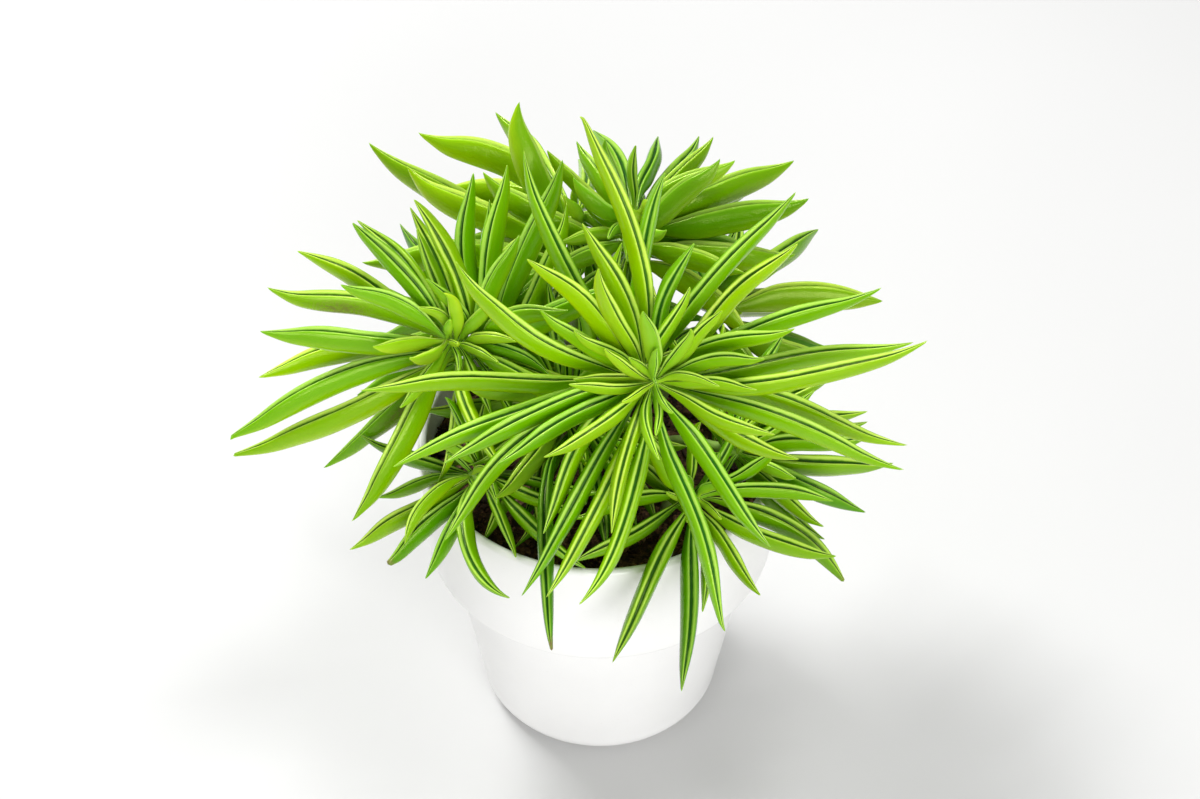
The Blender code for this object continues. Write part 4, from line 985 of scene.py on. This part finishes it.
class Nodes:
    """Short calls for making and linking shader nodes."""

    def __init__(self, name):
        self.material = bpy.data.materials.new(name)
        self.material.use_nodes = True
        self.tree = self.material.node_tree
        self.shader = self.tree.nodes["Principled BSDF"]

    def add(self, kind, **settings):
        node = self.tree.nodes.new(kind)
        for key, value in settings.items():
            setattr(node, key, value)
        return node

    def link(self, source, target):
        self.tree.links.new(source, target)

    def attribute(self, name):
        return self.add("ShaderNodeAttribute", attribute_name=name).outputs["Fac"]

    def maths(self, operation, a, b=0.0, clamp=False):
        node = self.add("ShaderNodeMath", operation=operation, use_clamp=clamp)
        for socket, value in zip(node.inputs, (a, b)):
            if isinstance(value, (int, float)):
                socket.default_value = value
            else:
                self.link(value, socket)
        return node.outputs[0]

    def noise(self, scale, detail=3.0, rough=0.55, stretch=None):
        place = self.add("ShaderNodeTexCoord").outputs["Object"]
        if stretch:
            mapping = self.add("ShaderNodeMapping")
            mapping.inputs["Scale"].default_value = stretch
            self.link(place, mapping.inputs["Vector"])
            place = mapping.outputs["Vector"]
        node = self.add("ShaderNodeTexNoise")
        node.inputs["Scale"].default_value = scale
        node.inputs["Detail"].default_value = detail
        node.inputs["Roughness"].default_value = rough
        self.link(place, node.inputs["Vector"])
        return node.outputs["Fac"]

    def ramp(self, value, stops):
        node = self.add("ShaderNodeValToRGB")
        elements = node.color_ramp.elements
        while len(elements) < len(stops):
            elements.new(0.5)
        for element, (place, colour) in zip(elements, stops):
            element.position = place
            element.color = (*colour, 1)
        self.link(value, node.inputs["Fac"])
        return node.outputs["Color"]

    def mix(self, factor, a, b, blend="MIX"):
        node = self.add("ShaderNodeMix", data_type="RGBA", blend_type=blend)
        for socket, value in zip((node.inputs[0], node.inputs[6], node.inputs[7]), (factor, a, b)):
            if isinstance(value, (int, float)):
                socket.default_value = value
            elif isinstance(value, tuple):
                socket.default_value = (*value, 1)
            else:
                self.link(value, socket)
        return node.outputs[2]

    def bump(self, height, strength, distance):
        node = self.add("ShaderNodeBump")
        node.inputs["Strength"].default_value = strength
        node.inputs["Distance"].default_value = distance
        self.link(height, node.inputs["Height"])
        self.link(node.outputs["Normal"], self.shader.inputs["Normal"])

    def set(self, **values):
        for key, value in values.items():
            self.shader.inputs[key.replace("_", " ")].default_value = value


def leaf_material():
    """A fleshy leaf: a dark groove between pale margins that carry a painted highlight, lime flanks and a
    paler keel, with painted shade on inner, back and low leaves.
    """
    n = Nodes("peperomia_leaf")
    across, along = n.attribute("across"), n.attribute("along")
    tone, dark = n.attribute("tone"), n.attribute("dark")
    brown, young = n.attribute("brown"), n.attribute("young")
    waver = n.maths("MULTIPLY", n.maths("SUBTRACT", n.noise(260, 2), 0.5), 0.05)
    place = n.maths("ADD", across, waver)
    # The pale margin stops hold the paler edge and a painted highlight along the groove's lips.
    bright = n.ramp(place, [
        (0.00, GROOVE), (0.03, GROOVE), (0.065, GROOVE_EDGE), (0.10, MARGIN_AND_SHEEN), (0.155, MARGIN_AND_SHEEN),
        (0.25, LIME), (0.50, LIME), (0.70, LIME_FLANK), (1.00, LIME_KEEL),
    ])
    # The deep ramp is painted shade: the same groove, margins, flanks and keel, darker.
    deep = n.ramp(place, [
        (0.00, DEEP_GROOVE), (0.04, DEEP_GROOVE), (0.08, DEEP), (0.12, DEEP_MARGIN_AND_SHEEN),
        (0.18, DEEP_MARGIN_AND_SHEEN), (0.30, DEEP), (0.65, DEEP), (1.00, DEEP_KEEL),
    ])
    mottle = n.maths("SUBTRACT", n.noise(70, 3), 0.5)
    # The dark value sets how much painted shade each leaf takes, with a random mottle.
    shade = n.maths("ADD", dark, n.maths("MULTIPLY", mottle, 0.35), clamp=True)
    colour = n.mix(shade, bright, deep)
    # The youngest leaves are paler and yellower, and every leaf pales towards its stalk.
    pale = n.maths("MULTIPLY", n.maths("SUBTRACT", young, 0.55), 1.1, clamp=True)
    flank = n.maths("MULTIPLY", n.maths("SUBTRACT", across, 0.2), 4.0, clamp=True)
    colour = n.mix(n.maths("MULTIPLY", pale, flank), colour, YOUNG_GREEN)
    near_stalk = n.maths("MULTIPLY", n.maths("SUBTRACT", 0.16, along), 4.0, clamp=True)
    colour = n.mix(n.maths("MULTIPLY", near_stalk, 0.6), colour, STALK_GREEN)
    value = n.maths("ADD", 1.06, n.maths("MULTIPLY", tone, 0.13))
    value = n.maths("ADD", value, n.maths("MULTIPLY", mottle, 0.30))
    hue = n.add("ShaderNodeHueSaturation")
    n.link(n.maths("ADD", 0.497, n.maths("MULTIPLY", tone, -0.016)), hue.inputs["Hue"])
    n.link(value, hue.inputs["Value"])
    n.link(colour, hue.inputs["Color"])
    flecks = n.maths("MULTIPLY", n.maths("SUBTRACT", n.noise(900, 2), 0.42), 4.0, clamp=True)
    marked = n.maths("MULTIPLY", brown, n.maths("ADD", 0.45, flecks, clamp=True))
    colour = n.mix(marked, hue.outputs["Color"], WITHERED)
    n.link(colour, n.shader.inputs["Base Color"])
    rough = n.maths("ADD", 0.10, n.maths("MULTIPLY", n.noise(320, 3), 0.16))
    n.link(n.maths("ADD", rough, n.maths("MULTIPLY", marked, 0.3)), n.shader.inputs["Roughness"])
    height = n.maths("ADD", n.noise(1500, 2), n.maths("MULTIPLY", n.noise(220, 3), 2.0))
    n.bump(height, 0.22, 0.0004)
    n.set(Subsurface_Weight=0.22, Subsurface_Radius=(0.6, 1.0, 0.15), Subsurface_Scale=0.0022)
    n.set(Specular_IOR_Level=0.55, Specular_Tint=(0.90, 1.0, 0.33, 1))
    return n.material


def stem_material():
    """A pale green stem with faint lengthwise streaks, greyer near the soil."""
    n = Nodes("peperomia_stem")
    along, tone = n.attribute("along"), n.attribute("tone")
    streaks = n.noise(420, 3, stretch=(1, 1, 0.15))
    waver = n.maths("MULTIPLY", n.maths("SUBTRACT", streaks, 0.5), 0.6)
    colour = n.ramp(n.maths("ADD", along, waver), [
        (0.05, (0.22, 0.27, 0.10)), (0.30, (0.34, 0.47, 0.13)),
        (0.75, (0.36, 0.56, 0.11)), (1.0, (0.33, 0.58, 0.07)),
    ])
    hue = n.add("ShaderNodeHueSaturation")
    n.link(n.maths("ADD", 0.95, n.maths("MULTIPLY", tone, 0.08)), hue.inputs["Value"])
    n.link(colour, hue.inputs["Color"])
    n.link(hue.outputs["Color"], n.shader.inputs["Base Color"])
    n.link(n.maths("ADD", 0.34, n.maths("MULTIPLY", n.noise(500), 0.2)), n.shader.inputs["Roughness"])
    n.bump(streaks, 0.3, 0.0004)
    n.set(Subsurface_Weight=0.15, Subsurface_Radius=(0.7, 1.0, 0.2), Subsurface_Scale=0.0015)
    return n.material


def ceramic_material():
    """White glaze with faint clouds, specks and an orange-peel surface."""
    n = Nodes("white_glaze")
    cloud = n.noise(22, 3)
    colour = n.ramp(cloud, [(0.3, (0.86, 0.855, 0.845)), (0.7, (0.90, 0.895, 0.885))])
    specks = n.ramp(n.noise(1100, 2), [(0.70, (1, 1, 1)), (0.76, (0.93, 0.92, 0.90))])
    n.link(n.mix(1.0, colour, specks, "MULTIPLY"), n.shader.inputs["Base Color"])
    n.link(n.maths("ADD", 0.26, n.maths("MULTIPLY", n.noise(60, 4), 0.16)), n.shader.inputs["Roughness"])
    height = n.maths("ADD", n.noise(130, 3), n.maths("MULTIPLY", n.noise(900, 2), 0.15))
    n.bump(height, 0.10, 0.0008)
    n.set(Specular_IOR_Level=0.5, Coat_Weight=0.4, Coat_Roughness=0.12)
    return n.material


def peat_material():
    """Dark peat with lighter fibres and flakes."""
    n = Nodes("dark_peat")
    tone = n.attribute("tone")
    grain = n.maths("ADD", n.noise(700, 5, 0.7), n.maths("MULTIPLY", tone, 0.16))
    colour = n.ramp(grain, [
        (0.20, (0.010, 0.006, 0.004)), (0.42, (0.035, 0.017, 0.009)), (0.58, (0.095, 0.044, 0.020)),
        (0.74, (0.22, 0.115, 0.055)), (0.88, (0.34, 0.23, 0.14)),
    ])
    n.link(colour, n.shader.inputs["Base Color"])
    n.link(n.maths("ADD", 0.75, n.maths("MULTIPLY", grain, 0.2)), n.shader.inputs["Roughness"])
    n.bump(n.noise(1600, 5, 0.7), 0.8, 0.0006)
    n.set(Specular_IOR_Level=0.3)
    return n.material


def floor_material():
    """A plain pale floor."""
    n = Nodes("pale_floor")
    colour = n.ramp(n.noise(3, 2), [(0.3, (0.66, 0.66, 0.655)), (0.7, (0.68, 0.68, 0.675))])
    n.link(colour, n.shader.inputs["Base Color"])
    n.set(Roughness=0.7, Specular_IOR_Level=0.2)
    return n.material


# The plant

def plant(leaves, dice):
    """Each shoot's stem, its long leaves one by one and its young leaves together."""
    leaf_look, stem_look = leaf_material(), stem_material()
    for shoot, (root, tip, _, rows) in SHOOTS.items():
        own = [leaf for leaf in leaves if leaf["shoot"] == shoot]
        for number, leaf in enumerate(own):
            leaf["age"] = number / len(rows)
        line = stem_line(root, tip, STALK_STEPS)
        marks = [np.linalg.norm(line - leaf["points"][0], axis=1).argmin() + 1 for leaf in own]
        node = f"{shoot}_stem"
        stem = stalk(f"{shoot}_stalk", root, tip, marks, stem_look, dice)
        settle(stem, "stem_green", node)
        young = []
        for leaf in own:
            if leaf["name"] in FRAME["nodes"]:
                piece = joined_leaves(f"{leaf['name']}_pod", [leaf], leaf_look, dice)
                settle(piece, "leaf_green", leaf["name"])
            else:
                young.append(leaf)
        settle(joined_leaves(f"{shoot}_young_leaves", young, leaf_look, dice), "leaf_green", node)


# Stage, light and camera

def stage():
    far = FLOOR_REACH
    corners = [(-far, -far, 0), (far, -far, 0), (far, far, 0), (-far, far, 0)]
    piece_of("floor", corners, [(0, 1, 2, 3)], floor_material())


def area_light(name, place, size, power):
    """A soft light that faces the middle of the plant."""
    light = bpy.data.lights.new(name, "AREA")
    light.shape = "RECTANGLE"
    light.size, light.size_y = size
    light.energy = power
    lamp = bpy.data.objects.new(name, light)
    lamp.location = place
    way = unit(np.array(LIT_MIDDLE) - np.array(place))
    lamp.rotation_euler = (acos(-way[2]), 0, atan2(-way[0], way[1]))
    bpy.context.scene.collection.objects.link(lamp)


def lights():
    world = bpy.data.worlds.new("studio")
    bpy.context.scene.world = world
    world.use_nodes = True
    background = world.node_tree.nodes["Background"]
    background.inputs["Color"].default_value = (1, 1, 1, 1)
    background.inputs["Strength"].default_value = WORLD_LIGHT
    for light in LIGHTS:
        area_light(*light)


def camera():
    lens = bpy.data.cameras.new("camera")
    lens.lens = LENS_MM
    lens.sensor_width = SENSOR_MM
    seen = bpy.data.objects.new("camera", lens)
    seen.location = CAMERA_PLACE
    seen.rotation_euler = (radians(CAMERA_TILT), 0, 0)
    bpy.context.scene.collection.objects.link(seen)
    bpy.context.scene.camera = seen
    bpy.context.scene.view_settings.view_transform = "Standard"
    bpy.context.scene.view_settings.look = "None"


def size_of(bounds):
    return [list(map(float, corner)) for corner in bounds]


for thing in list(bpy.data.objects):
    bpy.data.objects.remove(thing)
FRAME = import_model()
cad_box = size_of(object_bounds())
BOX = np.array(cad_box)
DICE = np.random.default_rng(SEED)
settle(pot(ceramic_material()), "white_ceramic", "cover_pot")
settle(soil(peat_material(), DICE), "dark_peat", "soil")
plant(thin(make_room(grow())), DICE)
stage()
lights()
camera()
